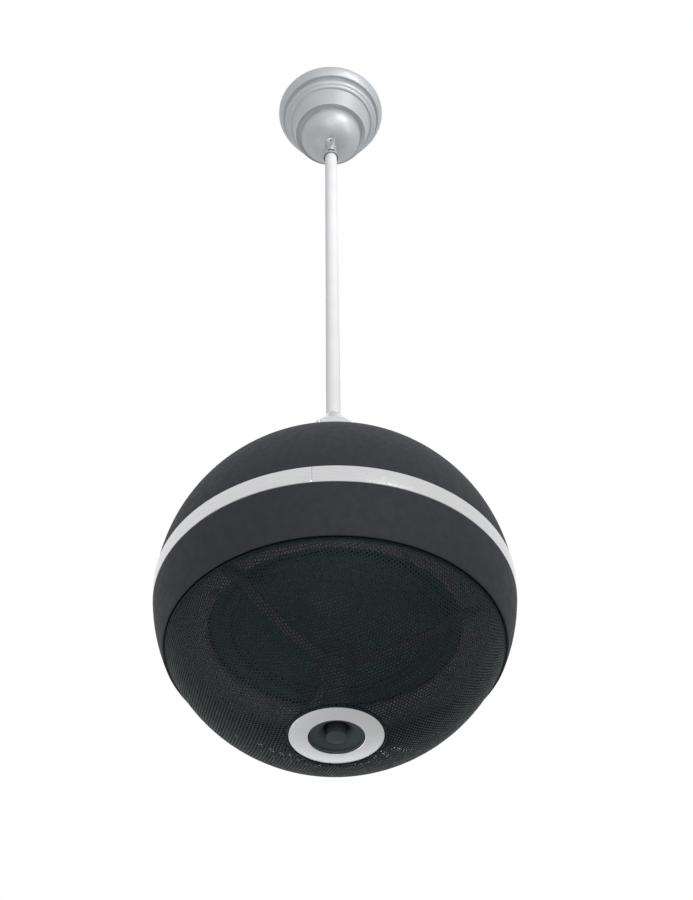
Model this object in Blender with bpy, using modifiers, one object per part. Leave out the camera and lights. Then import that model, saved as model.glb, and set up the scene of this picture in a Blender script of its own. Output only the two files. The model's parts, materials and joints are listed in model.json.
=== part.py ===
"""Ball loudspeaker that hangs from a ceiling canopy on a rigid tube.

The ceiling is the plane z = 0 and everything hangs below it. The pieces share one upright axis, x = y = 0.
Pieces in the ball are parented to an empty at its centre, and their heights are measured from there.
Units are metres.
"""

import math

import bmesh
import bpy
from mathutils import Matrix, Vector
from mathutils.geometry import delaunay_2d_cdt

# Clearances
GAP = 0.0003  # between pieces that touch
TUBE_CLEAR = 0.0014  # between the tube and the collar's lip, seen as a dark crescent
SHADOW_GAP = 0.0012  # between the housing's rim and the grille, seen as a dark line
COIL_CLEAR = 0.0007  # on each side of the voice coil, in the magnet's gap
FACET_CLEAR = 0.0005  # between the backing plate's edge and the faceted shell
HORN_SLOT = 0.0014  # between the phase plug and the horn's waist

# Overall
DROP = 0.794  # ceiling to the ball's centre
BALL_R = 0.150
TOP_FLAT = 0.0045  # the ball's top is this much lower than a true ball's
NOSE_SHORT = 0.0068  # and its nose is this much higher

# Facets of the turned pieces
BALL_STEPS = 40
CANOPY_STEPS = 28
DRIVER_STEPS = 20
FITTING_STEPS = 16
SMALL_STEPS = 12
SCREW_STEPS = 8
DOME_STEPS = 4

# Ceiling plate and the strap that carries the rod
PLATE_R = 0.050
PLATE_T = 0.002
SLOT_X = 0.040
SLOT_WIDTH = 0.0055
SLOT_LENGTH = 0.011
CABLE_HOLE_R = 0.008
CABLE_HOLE_Y = 0.027
STRAP_WIDTH = 0.022
STRAP_T = 0.0025
STRAP_SPAN = 0.036
STRAP_FOOT = 0.012
STRAP_DEPTH = 0.020
TERMINAL_SIZE = (0.030, 0.014, 0.012)
TERMINAL_Y = -0.030
TERMINAL_WIRE_R = 0.0022
TERMINAL_PITCH = 0.013

# Threaded rods, hollow for the cable, and their nuts
NIPPLE_R = 0.0049
NIPPLE_BORE_R = 0.0033
NIPPLE_PROUD = 0.003
NIPPLE_IN_TUBE = 0.030
NUT_ACROSS = 0.0165
NUT_T = 0.005

# Canopy, by radius and by depth below the ceiling
CANOPY_T = 0.001
CANOPY_R = 0.064
RIM_DEPTH = 0.0017
BEVEL_R, BEVEL_DEPTH, BEVEL_BOW = 0.0590, 0.0119, 0.0006
COVE_R, COVE_DEPTH = 0.0553, 0.0114
BEAD_R, BEAD_DEPTH, BEAD_BOW = 0.0563, 0.0188, 0.0016
STEP_R, STEP_DEPTH, STEP_IN = 0.0500, 0.0262, 0.0015
NECK_R, NECK_DEPTH = 0.0481, 0.0271
NECK_END_R, NECK_END_DEPTH = 0.0424, 0.0505
GROOVE_R, GROOVE_DEPTH = 0.0392, 0.0488  # the groove's floor, round the dome's foot
DOME_R, DOME_DEPTH, DOME_RISE = 0.0360, 0.0520, 0.0269  # half an ellipsoid

# Collar under the canopy
COLLAR_LENGTH = 0.025
COLLAR_NECK_WALL = 0.0015
COLLAR_LIP_WALL = 0.0010
SKIRT_LENGTH = 0.0130
SKIRT_BOW = 0.0005
LIP_HEIGHT = 0.0015
CUP_DEPTH = 0.0115
WINDOW_WIDTH, WINDOW_HEIGHT, WINDOW_UP = 0.0090, 0.0075, 0.0036
BOSS_R, BOSS_REACH, BOSS_DOWN = 0.0052, 0.0134, 0.0057
SET_SCREW_R, SET_SCREW_INSET, SOCKET_R, SOCKET_DEPTH = 0.0025, 0.0010, 0.0013, 0.0020

# Hanging tube
TUBE_R = 0.0070
TUBE_WALL = 0.0018
TUBE_IN_COLLAR = 0.0020

# Coupler on top of the ball
COUPLER_TOP = 0.0802  # its height above the ball's top
COUPLER_R = 0.0230
COUPLER_LIP_WALL = 0.0007
FLARE_DEPTH, FLARE_BOW = 0.0229, 0.0006
COUPLER_EDGE = 0.0015
TUBE_IN_COUPLER = 0.040
COUPLER_BODY = 0.0353  # the straight part, under the flare
BASE_R, BASE_EDGE, BASE_BOW = 0.036, 0.0025, 0.0050
COUPLER_SCREW_DOWN = 0.0275
COUPLER_SCREW_AZIMUTH = -126.0
COUPLER_SCREW_R, COUPLER_HEAD_R, COUPLER_HEAD_T = 0.0015, 0.0024, 0.0016
BALL_NIPPLE_UP = 0.028
BACKING_R = 0.060
BACKING_T = 0.002

# Housing
WALL = 0.003
UPPER_WALL = 0.0025
UPPER_EDGE_IN = 0.0007  # the band stands this much proud of the upper shell
BAND_TOP = 0.0028
BAND_BOTTOM = -0.0135
BAND_PROUD = 0.0002
BAND_T = 0.0013
BAND_CHAMFER = 0.0004
SEAM_WIDTH = 0.0005
SEAM_AZIMUTH = -96.4
SKIRT_T = 0.0025
SPIGOT_TOP = 0.006
SPIGOT_T = 0.0025
SHELL_SCREW_Z = -0.0055
SHELL_SCREW_AZIMUTHS = (-30.0, 90.0, 210.0)
RIM_Z = -0.0579
RIM_T = 0.0016
RIM_ROUND = 0.0004
BAFFLE_FRONT = -0.040
BAFFLE_T = 0.006
LEDGE_WIDTH = 0.0085
LEDGE_T = 0.0065
BAFFLE_WIDTH = 0.0299  # from the ledge's edge to the woofer's opening
BAFFLE_SCREW_AZIMUTHS = (45.0, 165.0, 285.0)
PAD_T = 0.010
PAD_FIRST_FACET, PAD_LAST_FACET = 1, 4
INSIDE_FACETS = 6

# Grille and the ring at its nose
GRILLE_T = 0.001
GRILLE_PROUD = 0.0016
RING_R = 0.0369
RING_BORE_R = 0.0219
RING_T = 0.0020
RING_RECESS = 0.0012
RING_DISH = 0.0014
RING_CHAMFER = 0.0005
HOLE_R = 0.0090
HOLE_SPACING = 0.0285  # along a row
ROW_SPACING = 0.0260
HEM = 0.0035

# Horn, its driver and the bridge that carries them
HUB_DROP = 0.028
HUB_R = 0.0155
HUB_T = 0.003
SNOUT_R = 0.0077
SNOUT_LENGTH = 0.0110
SNOUT_BORE_R = 0.0042
TWEETER_R = 0.0150
TWEETER_LENGTH = 0.0140
TWEETER_CHAMFER = 0.0015
HORN_T = 0.0018
DISH_DEPTH = 0.0070
DISH_STEPS = 3
HORN_FLANGE_R = 0.0340
HORN_FLANGE_T = 0.0022
THROAT_FLANGE_R = 0.0140
PLUG_R = 0.0080
PLUG_RISE = 0.0020
PLUG_EDGE = 0.0012
PLUG_LENGTH = 0.030
PLUG_BOW = 0.0007
PLUG_STEM_R = 0.0015
ARM_AZIMUTHS = (-15.0, -135.0, 105.0)
ARM_WIDTH = 0.009
ARM_T = 0.003
ARM_BOW = 0.005
FOOT_LENGTH = 0.016

# Woofer
FRAME_LAP = 0.010  # of the frame over the baffle
FRAME_LIP = 0.005  # of the frame into the opening
GASKET_T = 0.002
FRAME_T = 0.0018
ROLL_R = 0.005
ROLL_STEPS = 4
SURROUND_FLAT = 0.009
SURROUND_T = 0.001
GLUE_WIDTH = 0.004
CONE_T = 0.001
CONE_DEPTH = 0.034
CONE_BOW = 0.003
COIL_R = 0.0192
COIL_T = 0.0006
COIL_LENGTH = 0.031
CAP_R = 0.024
CAP_RISE = 0.009
CAP_T = 0.0008
SPIDER_SEAT = 0.044  # from the frame's front to the seat of the spider
SPIDER_R = 0.054
SPIDER_STEPS = 4
SPIDER_T = 0.0006
SPIDER_WAVE = 0.0015
POT_R = 0.046
POT_DEPTH = 0.0110
MAGNET_R = 0.045
MAGNET_BORE_R = 0.027
MAGNET_T = 0.014
POLE_PLATE_R = 0.041
POLE_PLATE_T = 0.005
WINDOW_SPAN = 0.060
FRAME_WINDOW_HEIGHT = 0.030
FRAME_WINDOWS = 4
WINDOW_AZIMUTH = 45.0
WOOFER_SCREW_AZIMUTHS = (-60.0, 30.0, 120.0, 210.0)

# Screws of the ball
SCREW_R = 0.0020
HEAD_R = 0.0038
HEAD_T = 0.0022
HEAD_CROWN = 0.7  # share of the head's radius that is flat on top
SCREW_BITE = 0.0050
SUNK_HEAD_T = 0.0016

# Transformer and crossover, under the backing plate
CORE_SIZE = (0.050, 0.020, 0.040)
CORE_LEG = 0.008
COIL_STANDS_OUT = 0.006
TRANSFORMER_Y = 0.032
BRACKET_WIDTH = 0.014
BRACKET_T = 0.0012
BRACKET_FOOT = 0.009
BOARD_SIZE = (0.050, 0.028, 0.0016)
BOARD_Y = -0.032
BOARD_MARGIN = 0.001
CAPACITOR_R, CAPACITOR_LENGTH = 0.0065, 0.026
CHOKE_R, CHOKE_BORE_R, CHOKE_T = 0.0080, 0.0035, 0.010

# Sizes that follow from those above
UPPER_TOP = BALL_R - TOP_FLAT
NOSE = NOSE_SHORT - BALL_R
UPPER_EDGE_R = BALL_R - UPPER_EDGE_IN
UPPER_EDGE = BAND_TOP + GAP
UPPER_RISE = UPPER_TOP - UPPER_EDGE
UPPER_R = (UPPER_EDGE_R**2 + UPPER_RISE**2) / (2 * UPPER_RISE)
UPPER_CENTRE = UPPER_TOP - UPPER_R
BAND_BACK_R = BALL_R + BAND_PROUD - BAND_T
SKIRT_R = BAND_BACK_R - GAP
SPIGOT_R = SKIRT_R - SKIRT_T - GAP
ROD_HOLE_R = NIPPLE_R + GAP
RIM_R = math.sqrt(BALL_R**2 - RIM_Z**2)
RIM_INNER_R = RIM_R - RIM_T
LEDGE_TOP = BAFFLE_FRONT - GAP
LEDGE_BOTTOM = LEDGE_TOP - LEDGE_T
INNER_R = BALL_R - WALL
LEDGE_OUTER_R = math.sqrt(INNER_R**2 - LEDGE_TOP**2)
LEDGE_R = LEDGE_OUTER_R - LEDGE_WIDTH
BAFFLE_R = LEDGE_OUTER_R - GAP
BAFFLE_REAR = BAFFLE_FRONT + BAFFLE_T
BAFFLE_SCREW_R = (LEDGE_R + BAFFLE_R) / 2
OPENING_R = LEDGE_R - BAFFLE_WIDTH
FRAME_R = OPENING_R + FRAME_LAP
FRAME_INNER_R = OPENING_R - FRAME_LIP
ROLL_CENTRE_R = OPENING_R - SURROUND_FLAT - ROLL_R
GRILLE_EDGE_R = RIM_INNER_R - SHADOW_GAP
GRILLE_EDGE = RIM_Z - GRILLE_PROUD
GRILLE_DEPTH = GRILLE_EDGE - NOSE
GRILLE_R = (GRILLE_EDGE_R**2 + GRILLE_DEPTH**2) / (2 * GRILLE_DEPTH)
GRILLE_CENTRE = NOSE + GRILLE_R
GRILLE_OPENING_R = RING_R + GAP
GRILLE_OPENING = GRILLE_CENTRE - math.sqrt(GRILLE_R**2 - GRILLE_OPENING_R**2)
RING_EDGE = GRILLE_OPENING + RING_RECESS
RING_BACK = RING_EDGE + RING_T
HORN_MOUTH = RING_BACK + GAP
HUB_TOP = BAFFLE_FRONT - HUB_DROP
HUB_BOTTOM = HUB_TOP - HUB_T
HORN_THROAT = HUB_BOTTOM - GAP
HUB_BORE_R = SNOUT_R + GAP
SNOUT_END = HUB_TOP + GAP - SNOUT_LENGTH
FOOT_FRONT = BAFFLE_FRONT - GAP
COLLAR_TOP = -DOME_DEPTH - DOME_RISE * math.sqrt(1 - (ROD_HOLE_R / DOME_R) ** 2) - GAP
COLLAR_BOTTOM = COLLAR_TOP - COLLAR_LENGTH
COLLAR_NECK_R = ROD_HOLE_R + COLLAR_NECK_WALL
LIP_BORE_R = TUBE_R + TUBE_CLEAR
LIP_R = LIP_BORE_R + COLLAR_LIP_WALL
TUBE_TOP = COLLAR_BOTTOM + TUBE_IN_COLLAR
COUPLER_HIGH = UPPER_TOP + COUPLER_TOP
SOCKET_BOTTOM = COUPLER_HIGH - TUBE_IN_COUPLER
TUBE_BOTTOM = SOCKET_BOTTOM + GAP - DROP
STRAP_UNDER = -PLATE_T - GAP - STRAP_DEPTH
FRAME_FRONT = BAFFLE_REAR + GAP + GASKET_T + GAP
FRAME_REAR = FRAME_FRONT + FRAME_T
CONE_EDGE = FRAME_FRONT
CONE_NECK = CONE_EDGE + CONE_DEPTH
CONE_R = ROLL_CENTRE_R - ROLL_R
CONE_HOLE_R = COIL_R + GAP
SEAT = FRAME_FRONT + SPIDER_SEAT
POT_TOP = SEAT + POT_DEPTH
BOLT_CIRCLE_R = (OPENING_R + FRAME_R) / 2
FOOT_SCREW_R = OPENING_R + FOOT_LENGTH / 2
POLE_PLATE_BOTTOM = POT_TOP + GAP
MAGNET_BOTTOM = POLE_PLATE_BOTTOM + POLE_PLATE_T + GAP
BACK_PLATE_BOTTOM = MAGNET_BOTTOM + MAGNET_T + GAP


def clear_scene():
    for obj in list(bpy.data.objects):
        bpy.data.objects.remove(obj)


def collection(name):
    made = bpy.data.collections.new(name)
    bpy.context.scene.collection.children.link(made)
    return made


def look(name, colour, roughness, metallic=0.0):
    """A Principled material."""
    made = bpy.data.materials.new(name)
    made.use_nodes = True
    shader = made.node_tree.nodes["Principled BSDF"]
    shader.inputs["Base Color"].default_value = (*colour, 1.0)
    shader.inputs["Roughness"].default_value = roughness
    shader.inputs["Metallic"].default_value = metallic
    made.diffuse_color = (*colour, 1.0)
    return made


def add(name, bm, material=None, parent=None):
    """A new object in the part's collection or, without a material, among the cutters."""
    mesh = bpy.data.meshes.new(name)
    bm.to_mesh(mesh)
    bm.free()
    obj = bpy.data.objects.new(name, mesh)
    obj.parent = parent
    if material:
        PARTS.objects.link(obj)
        mesh.materials.append(material)
    else:
        CUTTERS.objects.link(obj)
        obj.hide_render = True
        obj.display_type = "WIRE"
    return obj


def boolean(obj, other, operation="DIFFERENCE"):
    modifier = obj.modifiers.new(other.name, "BOOLEAN")
    modifier.operation = operation
    modifier.solver = "EXACT"
    modifier.object = other


def solidify(obj, thickness, offset):
    modifier = obj.modifiers.new("Thickness", "SOLIDIFY")
    modifier.thickness = thickness
    modifier.offset = offset
    modifier.use_even_offset = True


def turned(name, outline, steps, material=None, parent=None, wall=None):
    """Turns an outline of (radius, height) points that runs down its outer side.

    With a wall, the outline is the outside of a shell. Otherwise it is closed: along the axis where
    it starts and ends there, and back to its first point where it doesn't.
    """
    on_axis = outline[0][0] == 0 and outline[-1][0] == 0
    bm = bmesh.new()
    points = [bm.verts.new((radius, 0, height)) for radius, height in outline]
    for first, second in zip(points, points[1:]):
        bm.edges.new((first, second))
    if not on_axis and not wall:
        bm.edges.new((points[-1], points[0]))
    obj = add(name, bm, material, parent)
    screw = obj.modifiers.new("Turn", "SCREW")
    screw.angle = 2 * math.pi
    screw.steps = screw.render_steps = steps
    screw.use_merge_vertices = True
    screw.merge_threshold = 0.00001
    screw.use_smooth_shade = True
    if wall:
        solidify(obj, wall, -1)
    return obj


def washer(name, outer, inner, bottom, top, steps, material, parent=None):
    """A flat washer or a straight tube."""
    return turned(name, [(outer, top), (outer, bottom), (inner, bottom), (inner, top)], steps, material, parent)


def box(name, size, centre, material=None, parent=None, azimuth=0.0):
    bm = bmesh.new()
    turn = Matrix.Rotation(math.radians(azimuth), 4, "Z")
    bmesh.ops.create_cube(bm, size=1, matrix=turn @ Matrix.Translation(centre) @ Matrix.Diagonal((*size, 1)))
    return add(name, bm, material, parent)


def add_rod(bm, start, end, radius, steps, end_radius=None):
    """A cylinder from one point to another, or a cone where end_radius differs."""
    along = Vector(end) - Vector(start)
    middle = (Vector(start) + Vector(end)) / 2
    matrix = Matrix.Translation(middle) @ along.to_track_quat("Z", "Y").to_matrix().to_4x4()
    last = radius if end_radius is None else end_radius
    bmesh.ops.create_cone(
        bm, cap_ends=True, segments=steps, radius1=radius, radius2=last, depth=along.length, matrix=matrix
    )


def rod(name, start, end, radius, steps, material=None, parent=None):
    bm = bmesh.new()
    add_rod(bm, start, end, radius, steps)
    return add(name, bm, material, parent)


def drill(obj, holes, radius, steps=SCREW_STEPS):
    """Cuts round holes, each from one point to another."""
    bm = bmesh.new()
    for start, end in holes:
        add_rod(bm, start, end, radius, steps)
    boolean(obj, add(f"{obj.name}_holes", bm, None, obj.parent))


def around(radius, azimuth, height=0.0):
    """The point at a radius, an azimuth in degrees and a height."""
    angle = math.radians(azimuth)
    return Vector((radius * math.cos(angle), radius * math.sin(angle), height))


def bowed(first, last, bow, count):
    """The points after first and up to last on a curve that bulges by bow.

    A bulge above zero is to the left of the way from first to last.
    """
    across = last[0] - first[0]
    up = last[1] - first[1]
    length = math.hypot(across, up)
    points = []
    for step in range(1, count + 1):
        share = step / count
        off = 4 * bow * share * (1 - share) / length
        points.append((first[0] + across * share - up * off, first[1] + up * share + across * off))
    return points


def sphere_side(radius, centre, start, end, count):
    """Points on a sphere's outline from one height to another, both included."""
    first, last = [math.asin(max(-1, min(1, (height - centre) / radius))) for height in (start, end)]
    angles = [first + (last - first) * step / count for step in range(count + 1)]
    return [(radius * math.cos(angle), centre + radius * math.sin(angle)) for angle in angles]


def upright(radius, azimuths, bottom, top):
    """The ends of upright holes on a circle, for drill."""
    return [(around(radius, azimuth, bottom), around(radius, azimuth, top)) for azimuth in azimuths]


def height_at(outline, radius):
    """The height at which an outline that only runs inwards passes a radius."""
    for (outer, start), (inner, end) in zip(outline, outline[1:]):
        if inner <= radius <= outer:
            return start + (end - start) * (outer - radius) / (outer - inner)
    return outline[-1][1]


def top_of(radius, centre, at):
    """The height of a sphere's upper side at a radius from the axis."""
    return centre + math.sqrt(radius**2 - at**2)


def screw(name, seat, direction, length, material, parent, sizes=(SCREW_R, HEAD_R, HEAD_T)):
    """A pan head on seat, and a shank that runs length along direction."""
    radius, head_r, head_t = sizes
    outline = [(0, head_t), (head_r * HEAD_CROWN, head_t), (head_r, head_t / 2), (head_r, 0)]
    outline += [(radius, 0), (radius, -length), (0, -length)]
    made = turned(name, outline, SCREW_STEPS, material, parent)
    along = Vector(direction).normalized()
    made.location = Vector(seat) - along * GAP
    made.rotation_euler = (-along).to_track_quat("Z", "Y").to_euler()
    return made


def hex_nut(name, bottom, material, parent=None):
    bm = bmesh.new()
    add_rod(bm, (0, 0, bottom), (0, 0, bottom + NUT_T), NUT_ACROSS / math.sqrt(3), 6)
    nut = add(name, bm, material, parent)
    drill(nut, [((0, 0, bottom - NUT_T), (0, 0, bottom + 2 * NUT_T))], ROD_HOLE_R, SMALL_STEPS)


def bent_strap(name, span, depth, foot, width, thickness, feet_top, y, material, parent=None):
    """A strip bent to a U, with a foot at each end."""
    half = (span - thickness) / 2
    level = feet_top - thickness / 2
    low = feet_top - depth + thickness / 2
    outline = [(-half - foot, level), (-half, level), (-half, low)]
    outline += [(-across, height) for across, height in reversed(outline)]
    bm = bmesh.new()
    near = [bm.verts.new((x, y - width / 2, z)) for x, z in outline]
    for first, second in zip(near, near[1:]):
        bm.edges.new((first, second))
    made = bmesh.ops.extrude_edge_only(bm, edges=bm.edges[:])
    moved = [item for item in made["geom"] if isinstance(item, bmesh.types.BMVert)]
    bmesh.ops.translate(bm, verts=moved, vec=(0, width, 0))
    strap = add(name, bm, material, parent)
    solidify(strap, thickness, 0)
    return strap


def upper_inside():
    """The inner side of the upper shell, from its skirt up to the rod's hole."""
    radius = UPPER_R - UPPER_WALL
    low = top_of(radius, UPPER_CENTRE, SKIRT_R - SKIRT_T)
    return sphere_side(radius, UPPER_CENTRE, low, top_of(radius, UPPER_CENTRE, ROD_HOLE_R), INSIDE_FACETS)


def make_ceiling_fixing():
    plate = rod("ceiling_plate", (0, 0, -PLATE_T), (0, 0, 0), PLATE_R, CANOPY_STEPS, STEEL)
    drill(plate, [((0, CABLE_HOLE_Y, -2 * PLATE_T), (0, CABLE_HOLE_Y, PLATE_T))], CABLE_HOLE_R, SMALL_STEPS)
    for side in (-1, 1):
        boolean(plate, box("screw_slot", (SLOT_LENGTH, SLOT_WIDTH, 4 * PLATE_T), (side * SLOT_X, 0, 0)))

    feet = -PLATE_T - GAP
    strap = bent_strap(
        "hanger_strap", STRAP_SPAN, STRAP_DEPTH, STRAP_FOOT, STRAP_WIDTH, STRAP_T, feet, 0, STEEL
    )
    way = ((0, 0, STRAP_UNDER - STRAP_T), (0, 0, STRAP_UNDER + 2 * STRAP_T))
    drill(strap, [way], ROD_HOLE_R, SMALL_STEPS)
    hex_nut("nipple_nut_upper", STRAP_UNDER + STRAP_T + GAP, BRASS)
    hex_nut("nipple_nut_lower", STRAP_UNDER - GAP - NUT_T, BRASS)
    top = STRAP_UNDER + STRAP_T + GAP + NUT_T + NIPPLE_PROUD
    washer("threaded_nipple", NIPPLE_R, NIPPLE_BORE_R, TUBE_TOP - NIPPLE_IN_TUBE, top, SMALL_STEPS, ZINC)

    middle = feet - TERMINAL_SIZE[2] / 2
    block = box("terminal_block", TERMINAL_SIZE, (0, TERMINAL_Y, middle), NYLON)
    wires = []
    for side in (-1, 1):
        x = side * TERMINAL_PITCH / 2
        wires.append(((x, TERMINAL_Y - TERMINAL_SIZE[1], middle), (x, TERMINAL_Y + TERMINAL_SIZE[1], middle)))
    drill(block, wires, TERMINAL_WIRE_R)


def canopy_outline():
    """The canopy's outside, from the ceiling down to the rod's hole."""
    outline = [(CANOPY_R, 0), (CANOPY_R, -RIM_DEPTH)]
    outline += bowed((CANOPY_R, -RIM_DEPTH), (BEVEL_R, -BEVEL_DEPTH), BEVEL_BOW, 2)
    outline += [(COVE_R, -COVE_DEPTH)]
    outline += bowed((COVE_R, -COVE_DEPTH), (BEAD_R, -BEAD_DEPTH), -BEVEL_BOW, 2)
    outline += bowed((BEAD_R, -BEAD_DEPTH), (STEP_R, -STEP_DEPTH), BEAD_BOW, 2)
    outline += [(STEP_R - STEP_IN, -STEP_DEPTH), (NECK_R, -NECK_DEPTH), (NECK_END_R, -NECK_END_DEPTH)]
    outline += [(GROOVE_R, -GROOVE_DEPTH), (DOME_R, -GROOVE_DEPTH), (DOME_R, -DOME_DEPTH)]
    last = math.acos(ROD_HOLE_R / DOME_R)
    for step in range(1, DOME_STEPS + 1):
        angle = last * step / DOME_STEPS
        outline.append((DOME_R * math.cos(angle), -DOME_DEPTH - DOME_RISE * math.sin(angle)))
    return outline


def make_canopy():
    turned("canopy", canopy_outline(), CANOPY_STEPS, SILVER_PAINT, wall=CANOPY_T)

    cup_top = COLLAR_BOTTOM + CUP_DEPTH
    skirt_top = COLLAR_BOTTOM + SKIRT_LENGTH
    outline = [(COLLAR_NECK_R, COLLAR_TOP), (COLLAR_NECK_R, skirt_top)]
    outline += bowed((COLLAR_NECK_R, skirt_top), (LIP_R, COLLAR_BOTTOM + LIP_HEIGHT), -SKIRT_BOW, 3)
    outline += [(LIP_R, COLLAR_BOTTOM), (LIP_BORE_R, COLLAR_BOTTOM)]
    outline += [(LIP_BORE_R, COLLAR_BOTTOM + LIP_HEIGHT), (ROD_HOLE_R, cup_top), (ROD_HOLE_R, COLLAR_TOP)]
    collar = turned("hanger_collar", outline, FITTING_STEPS, SILVER_PAINT)
    boss_z = COLLAR_TOP - BOSS_DOWN
    boss = rod("boss", (0, -NIPPLE_R - GAP / 2, boss_z), (0, -BOSS_REACH, boss_z), BOSS_R, SMALL_STEPS)
    boolean(collar, boss, "UNION")
    drill(collar, [((0, -NIPPLE_R, boss_z), (0, -2 * BOSS_REACH, boss_z))], SET_SCREW_R + GAP, SMALL_STEPS)
    window_z = COLLAR_BOTTOM + WINDOW_UP + WINDOW_HEIGHT / 2
    boolean(collar, box("window", (WINDOW_WIDTH, LIP_R, WINDOW_HEIGHT), (0, -LIP_R, window_z)))

    inner, outer = -ROD_HOLE_R, -BOSS_REACH + SET_SCREW_INSET
    set_screw = rod("collar_screw", (0, inner, boss_z), (0, outer, boss_z), SET_SCREW_R, SMALL_STEPS, ZINC)
    drill(set_screw, [((0, outer + SOCKET_DEPTH, boss_z), (0, outer - SOCKET_DEPTH, boss_z))], SOCKET_R, 6)

    washer("hanging_tube", TUBE_R, TUBE_R - TUBE_WALL, TUBE_BOTTOM, TUBE_TOP, FITTING_STEPS, LIGHT_PAINT)


def make_coupler():
    """The fitting that joins the tube to the ball, and what holds it from inside."""
    socket_r = TUBE_R + GAP
    seat_r = UPPER_R + GAP
    flare_low = COUPLER_HIGH - FLARE_DEPTH
    body_low = flare_low - COUPLER_EDGE - COUPLER_BODY
    base_low = top_of(seat_r, UPPER_CENTRE, BASE_R)
    outline = [(socket_r + COUPLER_LIP_WALL, COUPLER_HIGH)]
    outline += bowed(outline[0], (COUPLER_R - COUPLER_EDGE / 2, flare_low), -FLARE_BOW, 4)
    outline += [(COUPLER_R, flare_low - COUPLER_EDGE), (COUPLER_R, body_low)]
    outline += bowed((COUPLER_R, body_low), (BASE_R, base_low + BASE_EDGE), -BASE_BOW, 4)
    outline += sphere_side(seat_r, UPPER_CENTRE, base_low, top_of(seat_r, UPPER_CENTRE, ROD_HOLE_R), 3)
    outline += [(ROD_HOLE_R, SOCKET_BOTTOM), (socket_r, SOCKET_BOTTOM), (socket_r, COUPLER_HIGH)]
    coupler = turned("ball_coupler", outline, FITTING_STEPS, CHROME, BALL)

    height = COUPLER_HIGH - COUPLER_SCREW_DOWN
    azimuths = {"front": COUPLER_SCREW_AZIMUTH, "rear": COUPLER_SCREW_AZIMUTH + 180}
    ways = [(around(TUBE_R, at, height), around(2 * COUPLER_R, at, height)) for at in azimuths.values()]
    drill(coupler, ways, COUPLER_SCREW_R + GAP)
    for place, azimuth in azimuths.items():
        seat = around(COUPLER_R, azimuth, height)
        sizes = (COUPLER_SCREW_R, COUPLER_HEAD_R, COUPLER_HEAD_T)
        screw(f"coupler_screw_{place}", seat, -around(1, azimuth), COUPLER_R - TUBE_R, ZINC, BALL, sizes)

    plate_top = height_at(upper_inside(), BACKING_R) - FACET_CLEAR
    plate_under = plate_top - BACKING_T
    nut_low = plate_under - GAP - NUT_T
    nipple_top = UPPER_TOP + BALL_NIPPLE_UP
    nipple_low = nut_low - NIPPLE_PROUD
    washer("ball_nipple", NIPPLE_R, NIPPLE_BORE_R, nipple_low, nipple_top, SMALL_STEPS, ZINC, BALL)
    washer("backing_plate", BACKING_R, ROD_HOLE_R, plate_under, plate_top, DRIVER_STEPS, STEEL, BALL)
    hex_nut("ball_nipple_nut", nut_low, BRASS, BALL)
    return plate_under


def shrunk(outline, depth):
    """The points of upper_inside moved inwards, towards the middle of its sphere."""
    share = 1 - depth / (UPPER_R - UPPER_WALL)
    return [(radius * share, UPPER_CENTRE + (height - UPPER_CENTRE) * share) for radius, height in outline]


def make_shell_screws(upper, lower):
    """Sunk screws through the upper shell's skirt into the spigot, hidden by the band."""
    face = SKIRT_R * math.cos(math.pi / BALL_STEPS) - GAP
    inner = SPIGOT_R - SPIGOT_T
    outline = [(0, 0), (HEAD_R, 0), (SCREW_R, -SUNK_HEAD_T), (SCREW_R, inner - face), (0, inner - face)]
    ways = []
    for azimuth in SHELL_SCREW_AZIMUTHS:
        ways.append((around(inner - WALL, azimuth, SHELL_SCREW_Z), around(BALL_R, azimuth, SHELL_SCREW_Z)))
    drill(upper, ways, SCREW_R + GAP)
    drill(lower, ways, SCREW_R + GAP)
    sinks = bmesh.new()
    for letter, azimuth in zip("abc", SHELL_SCREW_AZIMUTHS):
        made = turned(f"shell_screw_{letter}", outline, SCREW_STEPS, ZINC, BALL)
        made.location = around(face, azimuth, SHELL_SCREW_Z)
        made.rotation_euler = around(1, azimuth).to_track_quat("Z", "Y").to_euler()
        floor = around(face - SUNK_HEAD_T, azimuth, SHELL_SCREW_Z)
        mouth = around(face + SUNK_HEAD_T, azimuth, SHELL_SCREW_Z)
        wide = SCREW_R + GAP + 2 * (HEAD_R - SCREW_R)
        add_rod(sinks, floor, mouth, SCREW_R + 2 * GAP, SCREW_STEPS, wide + 2 * GAP)
    boolean(upper, add("upper_shell_sinks", sinks, None, BALL))


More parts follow.
